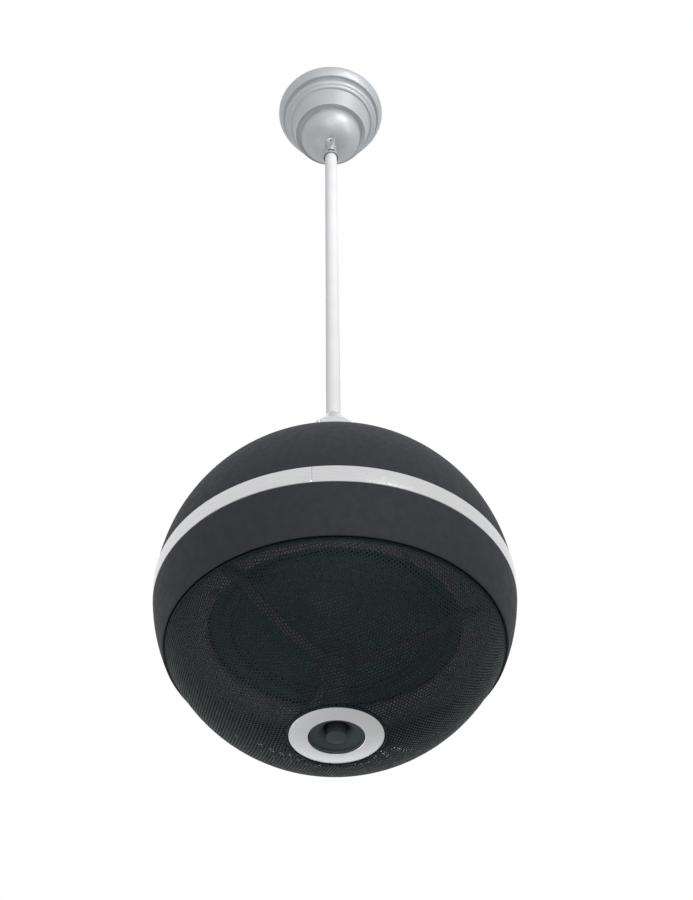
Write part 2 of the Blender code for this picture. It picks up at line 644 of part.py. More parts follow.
def make_housing():
    outline = sphere_side(UPPER_R, UPPER_CENTRE, top_of(UPPER_R, UPPER_CENTRE, ROD_HOLE_R), UPPER_EDGE, 8)
    outline += [(SKIRT_R, UPPER_EDGE), (SKIRT_R, BAND_BOTTOM), (SKIRT_R - SKIRT_T, BAND_BOTTOM)]
    outline += upper_inside()
    upper = turned("upper_shell", outline, BALL_STEPS, HOUSING_PAINT, BALL)

    band_r = BALL_R + BAND_PROUD
    outline = [(BAND_BACK_R, BAND_TOP)]
    outline += [(band_r - BAND_CHAMFER, BAND_TOP)]
    outline += sphere_side(band_r, 0, BAND_TOP - BAND_CHAMFER, BAND_BOTTOM + BAND_CHAMFER, 2)
    lower_r = math.sqrt(band_r**2 - BAND_BOTTOM**2)
    outline += [(lower_r - BAND_CHAMFER, BAND_BOTTOM), (BAND_BACK_R, BAND_BOTTOM)]
    band = turned("trim_band", outline, BALL_STEPS, POLISHED, BALL)
    middle = (BAND_TOP + BAND_BOTTOM) / 2
    seam_size = (BALL_R / 4, SEAM_WIDTH, 2 * (BAND_TOP - BAND_BOTTOM))
    boolean(band, box("seam", seam_size, (BALL_R, 0, middle), None, BALL, SEAM_AZIMUTH))

    shoulder = BAND_BOTTOM - GAP
    spigot_inner_r = SPIGOT_R - SPIGOT_T
    outline = [(SPIGOT_R, SPIGOT_TOP), (SPIGOT_R, shoulder)]
    outline += sphere_side(BALL_R, 0, shoulder, RIM_Z, 4)
    outline += [(RIM_R - RIM_ROUND, RIM_Z - RIM_ROUND), (RIM_INNER_R + RIM_ROUND, RIM_Z - RIM_ROUND)]
    outline += [(RIM_INNER_R, RIM_Z), (RIM_INNER_R, LEDGE_BOTTOM), (LEDGE_R, LEDGE_BOTTOM)]
    outline += [(LEDGE_R, LEDGE_TOP), (LEDGE_OUTER_R, LEDGE_TOP)]
    outline += [(spigot_inner_r, -math.sqrt(INNER_R**2 - spigot_inner_r**2)), (spigot_inner_r, SPIGOT_TOP)]
    lower = turned("lower_shell", outline, BALL_STEPS, HOUSING_PAINT, BALL)
    ways = upright(BAFFLE_SCREW_R, BAFFLE_SCREW_AZIMUTHS, LEDGE_TOP - SCREW_BITE, LEDGE_TOP + GAP)
    drill(lower, ways, SCREW_R + GAP)
    make_shell_screws(upper, lower)

    against = upper_inside()[PAD_FIRST_FACET:PAD_LAST_FACET]
    turned("damping_pad", shrunk(against[::-1], GAP) + shrunk(against, PAD_T), BALL_STEPS // 2, FELT, BALL)


def grille_surface(bm):
    """The perforated dome: hexagonal holes in staggered rows, laid out flat and then bent to the sphere.

    A point's distance from the middle of the flat layout is its angle from the dome's lowest point.
    """
    opening = math.asin(GRILLE_OPENING_R / GRILLE_R)
    edge = math.asin(GRILLE_EDGE_R / GRILLE_R)
    hole = HOLE_R / GRILLE_R
    hem = HEM / GRILLE_R + hole
    flat = []
    loops = []

    def add_loop(middle, size, count, start):
        loops.append([len(flat) + corner for corner in range(count)])
        for corner in range(count):
            angle = start + 2 * math.pi * corner / count
            flat.append(Vector((middle[0] + size * math.cos(angle), middle[1] + size * math.sin(angle))))

    add_loop((0, 0), edge, BALL_STEPS, 0)
    add_loop((0, 0), opening, CANOPY_STEPS, 0)
    span = edge - opening - 2 * hem
    rows = int(span * GRILLE_R / ROW_SPACING)
    for row in range(rows + 1):
        along = opening + hem + span * row / rows
        count = int(2 * math.pi * along * GRILLE_R / HOLE_SPACING)
        for place in range(count):
            turn = 2 * math.pi * (place + row / 2) / count
            add_loop((along * math.cos(turn), along * math.sin(turn)), hole, 6, turn)

    points, _, faces, _, _, sources = delaunay_2d_cdt(flat, [], loops, 1, 1e-6)
    bent = []
    for point in points:
        angle = point.length
        turn = math.atan2(point.y, point.x)
        across = GRILLE_R * math.sin(angle)
        height = GRILLE_CENTRE - GRILLE_R * math.cos(angle)
        bent.append(bm.verts.new((across * math.cos(turn), across * math.sin(turn), height)))
    for face, source in zip(faces, sources):
        if list(source) == [0]:
            bm.faces.new([bent[corner] for corner in reversed(face)])


def make_grille():
    bm = bmesh.new()
    grille_surface(bm)
    for radius, top in ((GRILLE_EDGE_R, LEDGE_BOTTOM - GAP), (GRILLE_OPENING_R, RING_EDGE + RING_T)):
        rim = {vert for vert in bm.verts if abs(vert.co.xy.length - radius) < GAP / 10}
        made = bmesh.ops.extrude_edge_only(bm, edges=[edge for edge in bm.edges if rim.issuperset(edge.verts)])
        for item in made["geom"]:
            if isinstance(item, bmesh.types.BMVert):
                item.co.z = top
    grille = add("grille_dome", bm, GRILLE_PAINT, BALL)
    solidify(grille, GRILLE_T, -1)

    inner = RING_EDGE - RING_DISH
    slope = RING_DISH / (RING_R - RING_BORE_R)
    outline = [(RING_R, RING_BACK), (RING_R, RING_EDGE + RING_CHAMFER)]
    outline += [(RING_R - RING_CHAMFER, RING_EDGE - slope * RING_CHAMFER)]
    outline += [(RING_BORE_R + RING_CHAMFER, inner + slope * RING_CHAMFER)]
    outline += [(RING_BORE_R, inner + RING_CHAMFER), (RING_BORE_R, RING_BACK)]
    turned("apex_ring", outline, CANOPY_STEPS, POLISHED, BALL)


def make_baffle():
    baffle = washer("baffle_ring", BAFFLE_R, OPENING_R, BAFFLE_FRONT, BAFFLE_REAR, BALL_STEPS, BOARD, BALL)
    below = BAFFLE_FRONT - BAFFLE_T
    above = BAFFLE_REAR + BAFFLE_T
    ways = upright(BAFFLE_SCREW_R, BAFFLE_SCREW_AZIMUTHS, below, above)
    ways += upright(BOLT_CIRCLE_R, WOOFER_SCREW_AZIMUTHS, below, above)
    ways += upright(FOOT_SCREW_R, ARM_AZIMUTHS, below, BAFFLE_FRONT + SCREW_BITE)
    drill(baffle, ways, SCREW_R + GAP)
    down, up = (0, 0, -1), (0, 0, 1)
    for letter, azimuth in zip("abc", BAFFLE_SCREW_AZIMUTHS):
        seat = around(BAFFLE_SCREW_R, azimuth, BAFFLE_REAR)
        screw(f"baffle_screw_{letter}", seat, down, BAFFLE_T + SCREW_BITE, ZINC, BALL)
    for letter, azimuth in zip("abc", ARM_AZIMUTHS):
        seat = around(FOOT_SCREW_R, azimuth, FOOT_FRONT - ARM_T)
        screw(f"bridge_screw_{letter}", seat, up, ARM_T + SCREW_BITE, ZINC, BALL)
    for letter, azimuth in zip("abcd", WOOFER_SCREW_AZIMUTHS):
        seat = around(BOLT_CIRCLE_R, azimuth, BAFFLE_FRONT)
        screw(f"woofer_screw_{letter}", seat, up, FRAME_REAR - BAFFLE_FRONT + 2 * GAP, ZINC, BALL)


def bridge_arm(azimuth):
    """One arm, from inside the hub to its foot on the baffle, as a solid for joining."""
    start = (HUB_R + HUB_BORE_R) / 2
    foot = OPENING_R
    end = foot + FOOT_LENGTH
    upper = [(start, HUB_TOP), (HUB_R, HUB_TOP)]
    upper += bowed((HUB_R, HUB_TOP), (foot, FOOT_FRONT), -ARM_BOW, 5) + [(end, FOOT_FRONT)]
    lower = [(radius, height - ARM_T) for radius, height in reversed(upper)]
    bm = bmesh.new()
    side = [bm.verts.new((radius, -ARM_WIDTH / 2, height)) for radius, height in upper + lower]
    made = bmesh.ops.extrude_face_region(bm, geom=[bm.faces.new(side)])
    moved = [item for item in made["geom"] if isinstance(item, bmesh.types.BMVert)]
    bmesh.ops.translate(bm, verts=moved, vec=(0, ARM_WIDTH, 0))
    bmesh.ops.recalc_face_normals(bm, faces=bm.faces[:])
    bmesh.ops.rotate(bm, verts=bm.verts[:], matrix=Matrix.Rotation(math.radians(azimuth), 3, "Z"))
    return add("arm", bm, None, BALL)


def make_horn():
    bridge = washer("horn_bridge", HUB_R, HUB_BORE_R, HUB_BOTTOM, HUB_TOP, FITTING_STEPS, MOULDED, BALL)
    for azimuth in ARM_AZIMUTHS:
        boolean(bridge, bridge_arm(azimuth), "UNION")
    ways = upright(FOOT_SCREW_R, ARM_AZIMUTHS, FOOT_FRONT - 2 * ARM_T, FOOT_FRONT + ARM_T)
    drill(bridge, ways, SCREW_R + GAP)

    body_low = HUB_TOP + GAP
    body_top = body_low + TWEETER_LENGTH
    outline = [(0, body_top), (TWEETER_R - TWEETER_CHAMFER, body_top), (TWEETER_R, body_top - TWEETER_CHAMFER)]
    outline += [(TWEETER_R, body_low), (SNOUT_R, body_low), (SNOUT_R, SNOUT_END), (SNOUT_BORE_R, SNOUT_END)]
    outline += [(SNOUT_BORE_R, HUB_TOP), (0, HUB_TOP)]
    turned("tweeter_driver", outline, FITTING_STEPS, MOULDED, BALL)

    throat = SNOUT_END - GAP
    flange_top = HORN_MOUTH + HORN_FLANGE_T
    waist_r = PLUG_R + HORN_SLOT
    waist = HORN_MOUTH + DISH_DEPTH
    dish = []
    back = []
    for step in range(DISH_STEPS + 1):
        angle = math.pi / 2 * step / DISH_STEPS
        radius = RING_BORE_R - (RING_BORE_R - waist_r) * math.sin(angle)
        height = waist - DISH_DEPTH * math.cos(angle)
        dish.append((radius, height))
        back.append((radius + HORN_T * math.sin(angle), height + HORN_T * math.cos(angle)))
    outline = [(THROAT_FLANGE_R, HORN_THROAT), (THROAT_FLANGE_R, throat), (HUB_BORE_R + HORN_T, throat)]
    outline += [*back[:0:-1], (RING_BORE_R, flange_top), (HORN_FLANGE_R, flange_top)]
    outline += [(HORN_FLANGE_R, HORN_MOUTH), *dish, (HUB_BORE_R, throat), (HUB_BORE_R, HORN_THROAT)]
    turned("tweeter_horn", outline, FITTING_STEPS, HORN_BLACK, BALL)

    front = RING_EDGE - RING_DISH
    wide = front + PLUG_EDGE
    tail = wide + PLUG_LENGTH
    bulge_r = (PLUG_R**2 + PLUG_RISE**2) / (2 * PLUG_RISE)
    outline = [(0, HUB_TOP - GAP), (PLUG_STEM_R, HUB_TOP - GAP), (PLUG_STEM_R, tail)]
    outline += bowed((PLUG_STEM_R, tail), (PLUG_R, wide), PLUG_BOW, 3)
    outline += sphere_side(bulge_r, front - PLUG_RISE + bulge_r, front, front - PLUG_RISE, 3)
    outline[-1] = (0, front - PLUG_RISE)
    turned("phase_plug", outline, SMALL_STEPS, HORN_BLACK, BALL)


def make_woofer():
    gasket_front = BAFFLE_REAR + GAP
    gasket = washer(
        "woofer_gasket", FRAME_R, OPENING_R + GAP, gasket_front, FRAME_FRONT - GAP, DRIVER_STEPS, FELT, BALL
    )
    hole_r = COIL_R + COIL_CLEAR
    seat_rear = SEAT + FRAME_T
    seat_r = SPIDER_R + GAP
    outline = [(hole_r, POT_TOP), (POT_R, POT_TOP), (POT_R, seat_rear), (seat_r + 2 * FRAME_T, seat_rear)]
    outline += [(FRAME_INNER_R + FRAME_T, FRAME_REAR), (FRAME_R, FRAME_REAR), (FRAME_R, FRAME_FRONT)]
    outline += [(FRAME_INNER_R, FRAME_FRONT), (seat_r, SEAT), (POT_R - FRAME_T, SEAT)]
    outline += [(POT_R - FRAME_T, POT_TOP - FRAME_T), (hole_r, POT_TOP - FRAME_T)]
    basket = turned("woofer_basket", outline, DRIVER_STEPS, BASKET_PAINT, BALL)
    size = (FRAME_R - POT_R, WINDOW_SPAN, FRAME_WINDOW_HEIGHT)
    middle = ((FRAME_R + POT_R) / 2, 0, (FRAME_REAR + SEAT) / 2)
    for place in range(FRAME_WINDOWS):
        azimuth = WINDOW_AZIMUTH + 360 / FRAME_WINDOWS * place
        boolean(basket, box("frame_window", size, middle, None, BALL, azimuth))
    ways = upright(BOLT_CIRCLE_R, WOOFER_SCREW_AZIMUTHS, gasket_front - GAP, FRAME_REAR + GAP)
    drill(gasket, ways, SCREW_R + GAP)
    drill(basket, ways, SCREW_R + GAP)

    back = FRAME_FRONT - GAP
    front = back - SURROUND_T
    roll_outer = ROLL_CENTRE_R + ROLL_R
    inner_r = ROLL_R - SURROUND_T
    angles = [math.pi * step / ROLL_STEPS for step in range(1, ROLL_STEPS)]
    outline = [(OPENING_R, back), (OPENING_R, front), (roll_outer, front)]
    for angle in angles:
        outline.append((ROLL_CENTRE_R + ROLL_R * math.cos(angle), front - ROLL_R * math.sin(angle)))
    outline += [(CONE_R, front), (CONE_R - GLUE_WIDTH, front), (CONE_R - GLUE_WIDTH, back), (CONE_R, back)]
    outline += [(CONE_R + SURROUND_T, front)]
    for angle in angles:
        outline.append((ROLL_CENTRE_R - inner_r * math.cos(angle), front - inner_r * math.sin(angle)))
    outline += [(roll_outer - SURROUND_T, front), (roll_outer, back)]
    turned("woofer_surround", outline, DRIVER_STEPS, RUBBER, BALL)

    front_side = [(CONE_R, CONE_EDGE), (CONE_R - GLUE_WIDTH, CONE_EDGE)]
    front_side += bowed(front_side[-1], (CONE_HOLE_R, CONE_NECK), CONE_BOW, 4)
    rear_side = [(radius, height + CONE_T) for radius, height in reversed(front_side)]
    turned("woofer_cone", front_side + rear_side, DRIVER_STEPS, CONE_TEAL, BALL)

    rim = height_at(front_side, CAP_R) - GAP
    bulge_r = (CAP_R**2 + CAP_RISE**2) / (2 * CAP_RISE)
    centre = rim - CAP_RISE + bulge_r
    outer = sphere_side(bulge_r, centre, rim, rim - CAP_RISE, 4)
    outer[-1] = (0, rim - CAP_RISE)
    inner = sphere_side(bulge_r - CAP_T, centre, rim - CAP_RISE + CAP_T, rim, 3)
    inner[0] = (0, rim - CAP_RISE + CAP_T)
    turned("dust_cap", inner + outer, DRIVER_STEPS, CONE_TEAL, BALL)

    base = SEAT - GAP - SPIDER_T
    flat_r = POT_R + FRAME_T
    near_side = [(SPIDER_R, base)]
    for fold in range(SPIDER_STEPS + 1):
        radius = flat_r + (CONE_HOLE_R - flat_r) * fold / SPIDER_STEPS
        near_side.append((radius, base - SPIDER_WAVE * (fold % 2)))
    far_side = [(radius, height + SPIDER_T) for radius, height in reversed(near_side)]
    turned("spider", near_side + far_side, DRIVER_STEPS, FELT, BALL)

    coil_low = CONE_NECK - CONE_T
    washer("voice_coil", COIL_R, COIL_R - COIL_T, coil_low, coil_low + COIL_LENGTH, DRIVER_STEPS, COPPER, BALL)
    plate_top = POLE_PLATE_BOTTOM + POLE_PLATE_T
    washer("pole_plate", POLE_PLATE_R, hole_r, POLE_PLATE_BOTTOM, plate_top, DRIVER_STEPS, ZINC, BALL)
    magnet_top = MAGNET_BOTTOM + MAGNET_T
    washer("magnet", MAGNET_R, MAGNET_BORE_R, MAGNET_BOTTOM, magnet_top, DRIVER_STEPS, FERRITE, BALL)
    pole_r = COIL_R - COIL_T - COIL_CLEAR
    top = BACK_PLATE_BOTTOM + POLE_PLATE_T
    outline = [(0, top), (POLE_PLATE_R, top), (POLE_PLATE_R, BACK_PLATE_BOTTOM), (pole_r, BACK_PLATE_BOTTOM)]
    outline += [(pole_r, POLE_PLATE_BOTTOM), (0, POLE_PLATE_BOTTOM)]
    turned("back_plate", outline, DRIVER_STEPS, ZINC, BALL)


def make_electrics(hang):
    """The line transformer and the crossover, which hang from a height under the backing plate."""
    length, width, height = CORE_SIZE
    middle = hang - height / 2
    core = box("transformer_core", CORE_SIZE, (0, TRANSFORMER_Y, middle), LAMINATION, BALL)
    window_width = length / 2 - 2 * CORE_LEG
    window_height = height - 2 * CORE_LEG
    for side in (-1, 1):
        at = (side * (CORE_LEG + window_width / 2), TRANSFORMER_Y, middle)
        boolean(core, box("core_window", (window_width, 2 * width, window_height), at, None, BALL))
    size = (2 * (CORE_LEG + window_width - GAP), width + 2 * COIL_STANDS_OUT, window_height - 2 * GAP)
    coil = box("transformer_coil", size, (0, TRANSFORMER_Y, middle), COPPER, BALL)
    bore = (2 * (CORE_LEG + GAP), width + 2 * GAP, height)
    boolean(coil, box("coil_bore", bore, (0, TRANSFORMER_Y, middle), None, BALL))
    span = length + 2 * (BRACKET_T + GAP)
    depth = height + GAP + BRACKET_T
    bent_strap("transformer_bracket", span, depth, BRACKET_FOOT, BRACKET_WIDTH, BRACKET_T, hang, TRANSFORMER_Y,
               STEEL, BALL)

    box("crossover_board", BOARD_SIZE, (0, BOARD_Y, hang - BOARD_SIZE[2] / 2), BOARD_GREEN, BALL)
    under = hang - BOARD_SIZE[2] - GAP
    near = -BOARD_SIZE[0] / 2 + BOARD_MARGIN
    y = BOARD_Y - BOARD_SIZE[1] / 2 + BOARD_MARGIN + CAPACITOR_R
    z = under - CAPACITOR_R
    far = near + CAPACITOR_LENGTH
    rod("crossover_capacitor", (near, y, z), (far, y, z), CAPACITOR_R, SMALL_STEPS, FILM, BALL)
    choke = washer("crossover_choke", CHOKE_R, CHOKE_BORE_R, under - CHOKE_T, under, SMALL_STEPS, COPPER, BALL)
    choke.location.x = BOARD_SIZE[0] / 2 - BOARD_MARGIN - CHOKE_R
    choke.location.y = BOARD_Y + BOARD_SIZE[1] / 2 - BOARD_MARGIN - CHOKE_R


clear_scene()
PARTS = collection("ball_speaker")
CUTTERS = collection("cutters")

HOUSING_PAINT = look("housing_paint", (0.047, 0.047, 0.052), 0.5)
GRILLE_PAINT = look("grille_paint", (0.020, 0.024, 0.028), 0.45, 0.3)
SILVER_PAINT = look("silver_paint", (0.42, 0.44, 0.46), 0.35, 0.7)
LIGHT_PAINT = look("light_paint", (0.72, 0.72, 0.75), 0.4)
POLISHED = look("polished_steel", (0.68, 0.68, 0.69), 0.2, 1.0)
CHROME = look("satin_chrome", (0.70, 0.72, 0.74), 0.25, 1.0)
STEEL = look("zinc_sheet", (0.50, 0.51, 0.52), 0.4, 1.0)
ZINC = look("zinc_screw", (0.55, 0.55, 0.53), 0.35, 1.0)
BRASS = look("brass", (0.60, 0.45, 0.20), 0.35, 1.0)
NYLON = look("white_nylon", (0.75, 0.75, 0.70), 0.5)
BOARD = look("black_board", (0.020, 0.018, 0.018), 0.8)
MOULDED = look("black_plastic", (0.030, 0.026, 0.026), 0.5)
HORN_BLACK = look("horn_plastic", (0.020, 0.028, 0.032), 0.3)
BASKET_PAINT = look("basket_paint", (0.025, 0.025, 0.025), 0.5, 0.3)
RUBBER = look("rubber", (0.018, 0.017, 0.017), 0.7)
CONE_TEAL = look("coated_paper", (0.020, 0.045, 0.055), 0.6)
FELT = look("felt", (0.06, 0.06, 0.06), 0.95)
FERRITE = look("ferrite", (0.05, 0.05, 0.05), 0.6)
COPPER = look("copper_wire", (0.50, 0.20, 0.09), 0.4, 1.0)
LAMINATION = look("lamination", (0.20, 0.20, 0.21), 0.5, 0.8)
BOARD_GREEN = look("circuit_board", (0.03, 0.14, 0.06), 0.5)
FILM = look("capacitor_film", (0.55, 0.42, 0.10), 0.4)

BALL = bpy.data.objects.new("ball_centre", None)
BALL.location.z = -DROP
PARTS.objects.link(BALL)

make_ceiling_fixing()
make_canopy()
plate_under = make_coupler()
make_housing()
make_grille()
make_baffle()
make_horn()
make_woofer()
make_electrics(plate_under - GAP)
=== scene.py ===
"""Looks of the ball loudspeaker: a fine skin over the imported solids, with materials, lights and the camera.

Heights of the pieces in the ball are measured from its centre, as in the part's source. Units are metres.
"""

import json
import math

import bpy
import numpy as np
from mathutils import Matrix, Vector


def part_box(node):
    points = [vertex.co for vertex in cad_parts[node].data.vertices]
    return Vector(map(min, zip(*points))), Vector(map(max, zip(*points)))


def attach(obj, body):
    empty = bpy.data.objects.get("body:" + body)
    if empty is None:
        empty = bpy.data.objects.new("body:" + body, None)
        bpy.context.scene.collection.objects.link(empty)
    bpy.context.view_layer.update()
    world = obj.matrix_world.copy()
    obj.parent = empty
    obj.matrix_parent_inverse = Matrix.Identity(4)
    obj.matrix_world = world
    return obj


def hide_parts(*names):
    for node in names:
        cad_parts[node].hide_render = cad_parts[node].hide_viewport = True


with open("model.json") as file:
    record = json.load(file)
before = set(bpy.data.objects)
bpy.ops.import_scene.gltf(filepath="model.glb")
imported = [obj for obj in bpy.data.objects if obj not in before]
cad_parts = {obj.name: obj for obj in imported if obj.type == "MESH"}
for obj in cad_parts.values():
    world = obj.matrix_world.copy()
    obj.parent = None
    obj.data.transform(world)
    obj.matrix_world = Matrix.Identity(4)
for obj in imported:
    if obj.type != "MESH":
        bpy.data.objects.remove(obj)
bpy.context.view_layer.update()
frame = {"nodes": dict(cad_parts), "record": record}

# The photograph's camera
FRAME_WIDTH, FRAME_HEIGHT = 693, 900
SENSOR = 36.0
FOCAL_PIXELS = 1391.7
CAMERA_DISTANCE = 7.745  # from the ball's centre, in ball radii
CAMERA_BELOW = 0.7131  # under the level of the ball's centre, in radians
CAMERA_ROLL = -0.0096
CLIP_START = 0.01
BALL_PIXEL = (335.15, 598.3)  # where the ball's centre falls

# Sizes shared with the part's source
GAP = 0.0003  # between pieces that touch
DROP = 0.794  # from the ceiling to the ball's centre
BALL_R = 0.150
TOP_FLAT = 0.0045
NOSE_SHORT = 0.0068

# Canopy, as radii and depths below the ceiling, from its rim to its dome
CANOPY_T = 0.001
CANOPY_R = 0.064
RIM_DEPTH = 0.0017
BEVEL_R, BEVEL_DEPTH, BEVEL_BOW = 0.0590, 0.0119, 0.0006
COVE_R, COVE_DEPTH = 0.0553, 0.0114
BEAD_R, BEAD_DEPTH, BEAD_BOW = 0.0563, 0.0188, 0.0016
STEP_R, STEP_DEPTH, STEP_IN = 0.0500, 0.0262, 0.0015
NECK_R, NECK_DEPTH = 0.0481, 0.0271
NECK_END_R, NECK_END_DEPTH = 0.0424, 0.0505
GROOVE_R, GROOVE_DEPTH = 0.0392, 0.0488
DOME_R, DOME_DEPTH, DOME_RISE = 0.0360, 0.0520, 0.0269

# Nipple, tube, collar and coupler
NIPPLE_R, NIPPLE_BORE_R = 0.0049, 0.0033
TUBE_R, TUBE_WALL = 0.0070, 0.0018
COLLAR_LENGTH = 0.025
COLLAR_NECK_WALL, COLLAR_LIP_WALL, TUBE_CLEAR = 0.0015, 0.0010, 0.0014
SKIRT_LENGTH, SKIRT_BOW, LIP_HEIGHT, CUP_DEPTH = 0.0130, 0.0005, 0.0015, 0.0115
WINDOW_WIDTH, WINDOW_HEIGHT, WINDOW_UP = 0.0090, 0.0075, 0.0036
BOSS_R, BOSS_REACH, BOSS_DOWN, SET_SCREW_R = 0.0052, 0.0134, 0.0057, 0.0025
COUPLER_TOP, COUPLER_R, COUPLER_LIP_WALL = 0.0802, 0.0230, 0.0007
FLARE_DEPTH, FLARE_BOW, COUPLER_EDGE = 0.0229, 0.0006, 0.0015
TUBE_IN_COUPLER, COUPLER_BODY = 0.040, 0.0353
BASE_R, BASE_EDGE, BASE_BOW = 0.036, 0.0025, 0.0050
COUPLER_SCREW_DOWN, COUPLER_SCREW_AZIMUTH = 0.0275, -126.0

# Shells, band and baffle
WALL, UPPER_WALL, UPPER_EDGE_IN = 0.003, 0.0025, 0.0007
BAND_TOP, BAND_BOTTOM, BAND_PROUD, BAND_T, BAND_CHAMFER = 0.0028, -0.0135, 0.0002, 0.0013, 0.0004
SEAM_AZIMUTH = -96.4
SKIRT_T, SPIGOT_TOP, SPIGOT_T = 0.0025, 0.006, 0.0025
RIM_Z, RIM_T, RIM_ROUND = -0.0579, 0.0016, 0.0004
BAFFLE_FRONT, BAFFLE_T, BAFFLE_WIDTH = -0.040, 0.006, 0.0299
LEDGE_WIDTH, LEDGE_T = 0.0085, 0.0065

# Grille, ring, horn and plug
GRILLE_T, GRILLE_PROUD, SHADOW_GAP = 0.001, 0.0016, 0.0012
RING_R, RING_BORE_R, RING_T = 0.0369, 0.0219, 0.0020
RING_RECESS, RING_DISH, RING_CHAMFER = 0.0012, 0.0014, 0.0005
HUB_DROP, HUB_T, SNOUT_R, SNOUT_LENGTH = 0.028, 0.003, 0.0077, 0.0110
HORN_T, HORN_FLANGE_R, HORN_FLANGE_T, THROAT_FLANGE_R = 0.0018, 0.0340, 0.0022, 0.0140
DISH_DEPTH, HORN_SLOT = 0.0070, 0.0014
PLUG_R, PLUG_RISE, PLUG_EDGE, PLUG_LENGTH = 0.0080, 0.0020, 0.0012, 0.030
PLUG_BOW, PLUG_STEM_R = 0.0007, 0.0015

# Woofer and its screws
GASKET_T = 0.002
ROLL_R, SURROUND_FLAT, SURROUND_T, GLUE_WIDTH = 0.005, 0.009, 0.001, 0.004
CONE_T, CONE_DEPTH, CONE_BOW, COIL_R = 0.001, 0.034, 0.003, 0.0192
CAP_R, CAP_RISE, CAP_T = 0.024, 0.009, 0.0008
SCREW_R, HEAD_R, HEAD_T = 0.0020, 0.0038, 0.0022

# Steps round a turned piece
BALL_STEPS, CANOPY_STEPS, DRIVER_STEPS, FITTING_STEPS, SCREW_STEPS = 180, 128, 96, 64, 32
BAND_ROUND_STEPS = 2 * BALL_STEPS
BOSS_STEPS, BORE_STEPS = 48, 24

# Steps along a curved side
BOW_STEPS, CREASE_STEPS, DOME_STEPS = 8, 6, 32
FLARE_STEPS, FOOT_STEPS, SEAT_STEPS = 12, 16, 8
SHELL_STEPS, LINING_STEPS, BAND_SIDE_STEPS, LOWER_STEPS = 60, 30, 6, 24
DISH_STEPS, PLUG_STEPS = 20, 12
ROLL_STEPS, CONE_STEPS, CAP_STEPS, CAP_BACK_STEPS = 24, 60, 16, 12

# Corners that are rounded off, and edges that are shaded sharp
EDGE_ROUND, COVER_ROUND, RING_ROUND = 0.0003, 0.0005, 0.0001
LEAST_BEND = 0.5  # in radians
MOST_CUT = 0.45  # of a side
CORNER_SHARES = (0, 0.25, 0.5, 0.75, 1)
SAME_SPOT = 1e-7
SHARP, SHEET_SHARP = math.radians(35), math.radians(30)

# Details that only the looks have
CREASE = (0.0528, -0.0235)  # a fine line round the canopy's bead
BEAD_BOW_SHARE, CREASE_BOW_SHARE = 0.6, 0.3
FINE_SEAM = 0.00015
COUPLER_BORE_R = 0.0018
PITCH, HOLE_R, LATTICE_TURN = 0.0030, 0.0010, -15.0  # of the grille's perforation
CELL_SIDES, HOLE_SIDES = 6, 12
CELL_TURN = LATTICE_TURN + 30  # to a corner of the cell round a hole
SAME_CORNER = PITCH / 50
CLEAR_OF_OPENING, CLEAR_OF_EDGE = PITCH * 0.55, PITCH * 0.36  # from the centre of a hole
SHEET_T = 0.0005
HEM_WIDTH, HEM_LIP = 0.0021, 0.0006
HEM_INSET, HEM_BACK = GRILLE_T * 0.3, GRILLE_T * 0.6
HEM_SHARES = (0.2, 0.6, 1.0)  # of the hem's width, in from the edge
OPENING_SHARES = (1.0, 0.5, 0.0)  # of the same width, out from the opening
BORE_EDGE = 0.0002
BACK_FACING = 0.3  # the least upward part of a face on the horn's back
THREAD_PITCH, THREAD_DEPTH, THREAD_STEPS, THREAD_ROWS = 0.0010, 0.0005, 24, 4
BAFFLE_CHAMFER = 0.002
RIB_PITCH, RIB_HEIGHT = 0.012, 0.0004
HEAD_SIDE = ((0, 1), (0.35, 0.98), (0.7, 0.82), (0.92, 0.5), (1, 0.15), (1, 0))  # in HEAD_R and HEAD_T
RECESS, RECESS_TURNS = (0.0042, 0.0009, 0.0020), (20, 110)  # the two slots of a cross

# Materials, floor and world
NOISE_LOW, NOISE_HIGH = 0.35, 0.65  # the part of a noise's range that is used
MOTTLE_SCALE, WEAR_SCALE, WEAR, GRAIN_DETAIL = 40.0, 160.0, 0.05, 2.0
BRUSH_SCALE, BRUSH_DETAIL = 90.0, 6.0
FLOOR, FLOOR_WIDTH, FLOOR_SCALE = -2.8, 7, 1.5
FLOOR_PALE, FLOOR_PATCH = (0.80, 0.80, 0.79), (0.78, 0.78, 0.775)
FLOOR_ROUGHNESS, FLOOR_SPECULAR = 0.9, 0.2
AMBIENT = 0.5
BEAM_BLEND = 0.5

# Sizes that follow from those above
UPPER_TOP = BALL_R - TOP_FLAT
NOSE = NOSE_SHORT - BALL_R
UPPER_EDGE_R = BALL_R - UPPER_EDGE_IN
UPPER_EDGE = BAND_TOP + GAP
UPPER_RISE = UPPER_TOP - UPPER_EDGE
UPPER_R = (UPPER_EDGE_R**2 + UPPER_RISE**2) / (2 * UPPER_RISE)
UPPER_CENTRE = UPPER_TOP - UPPER_R
BAND_BACK_R = BALL_R + BAND_PROUD - BAND_T
SKIRT_R = BAND_BACK_R - GAP
SPIGOT_R = SKIRT_R - SKIRT_T - GAP
ROD_HOLE_R = NIPPLE_R + GAP
RIM_R = math.sqrt(BALL_R**2 - RIM_Z**2)
RIM_INNER_R = RIM_R - RIM_T
LEDGE_TOP = BAFFLE_FRONT - GAP
LEDGE_BOTTOM = LEDGE_TOP - LEDGE_T
INNER_R = BALL_R - WALL
LEDGE_OUTER_R = math.sqrt(INNER_R**2 - LEDGE_TOP**2)
LEDGE_R = LEDGE_OUTER_R - LEDGE_WIDTH
BAFFLE_R = LEDGE_OUTER_R - GAP
BAFFLE_REAR = BAFFLE_FRONT + BAFFLE_T
OPENING_R = LEDGE_R - BAFFLE_WIDTH
ROLL_CENTRE_R = OPENING_R - SURROUND_FLAT - ROLL_R
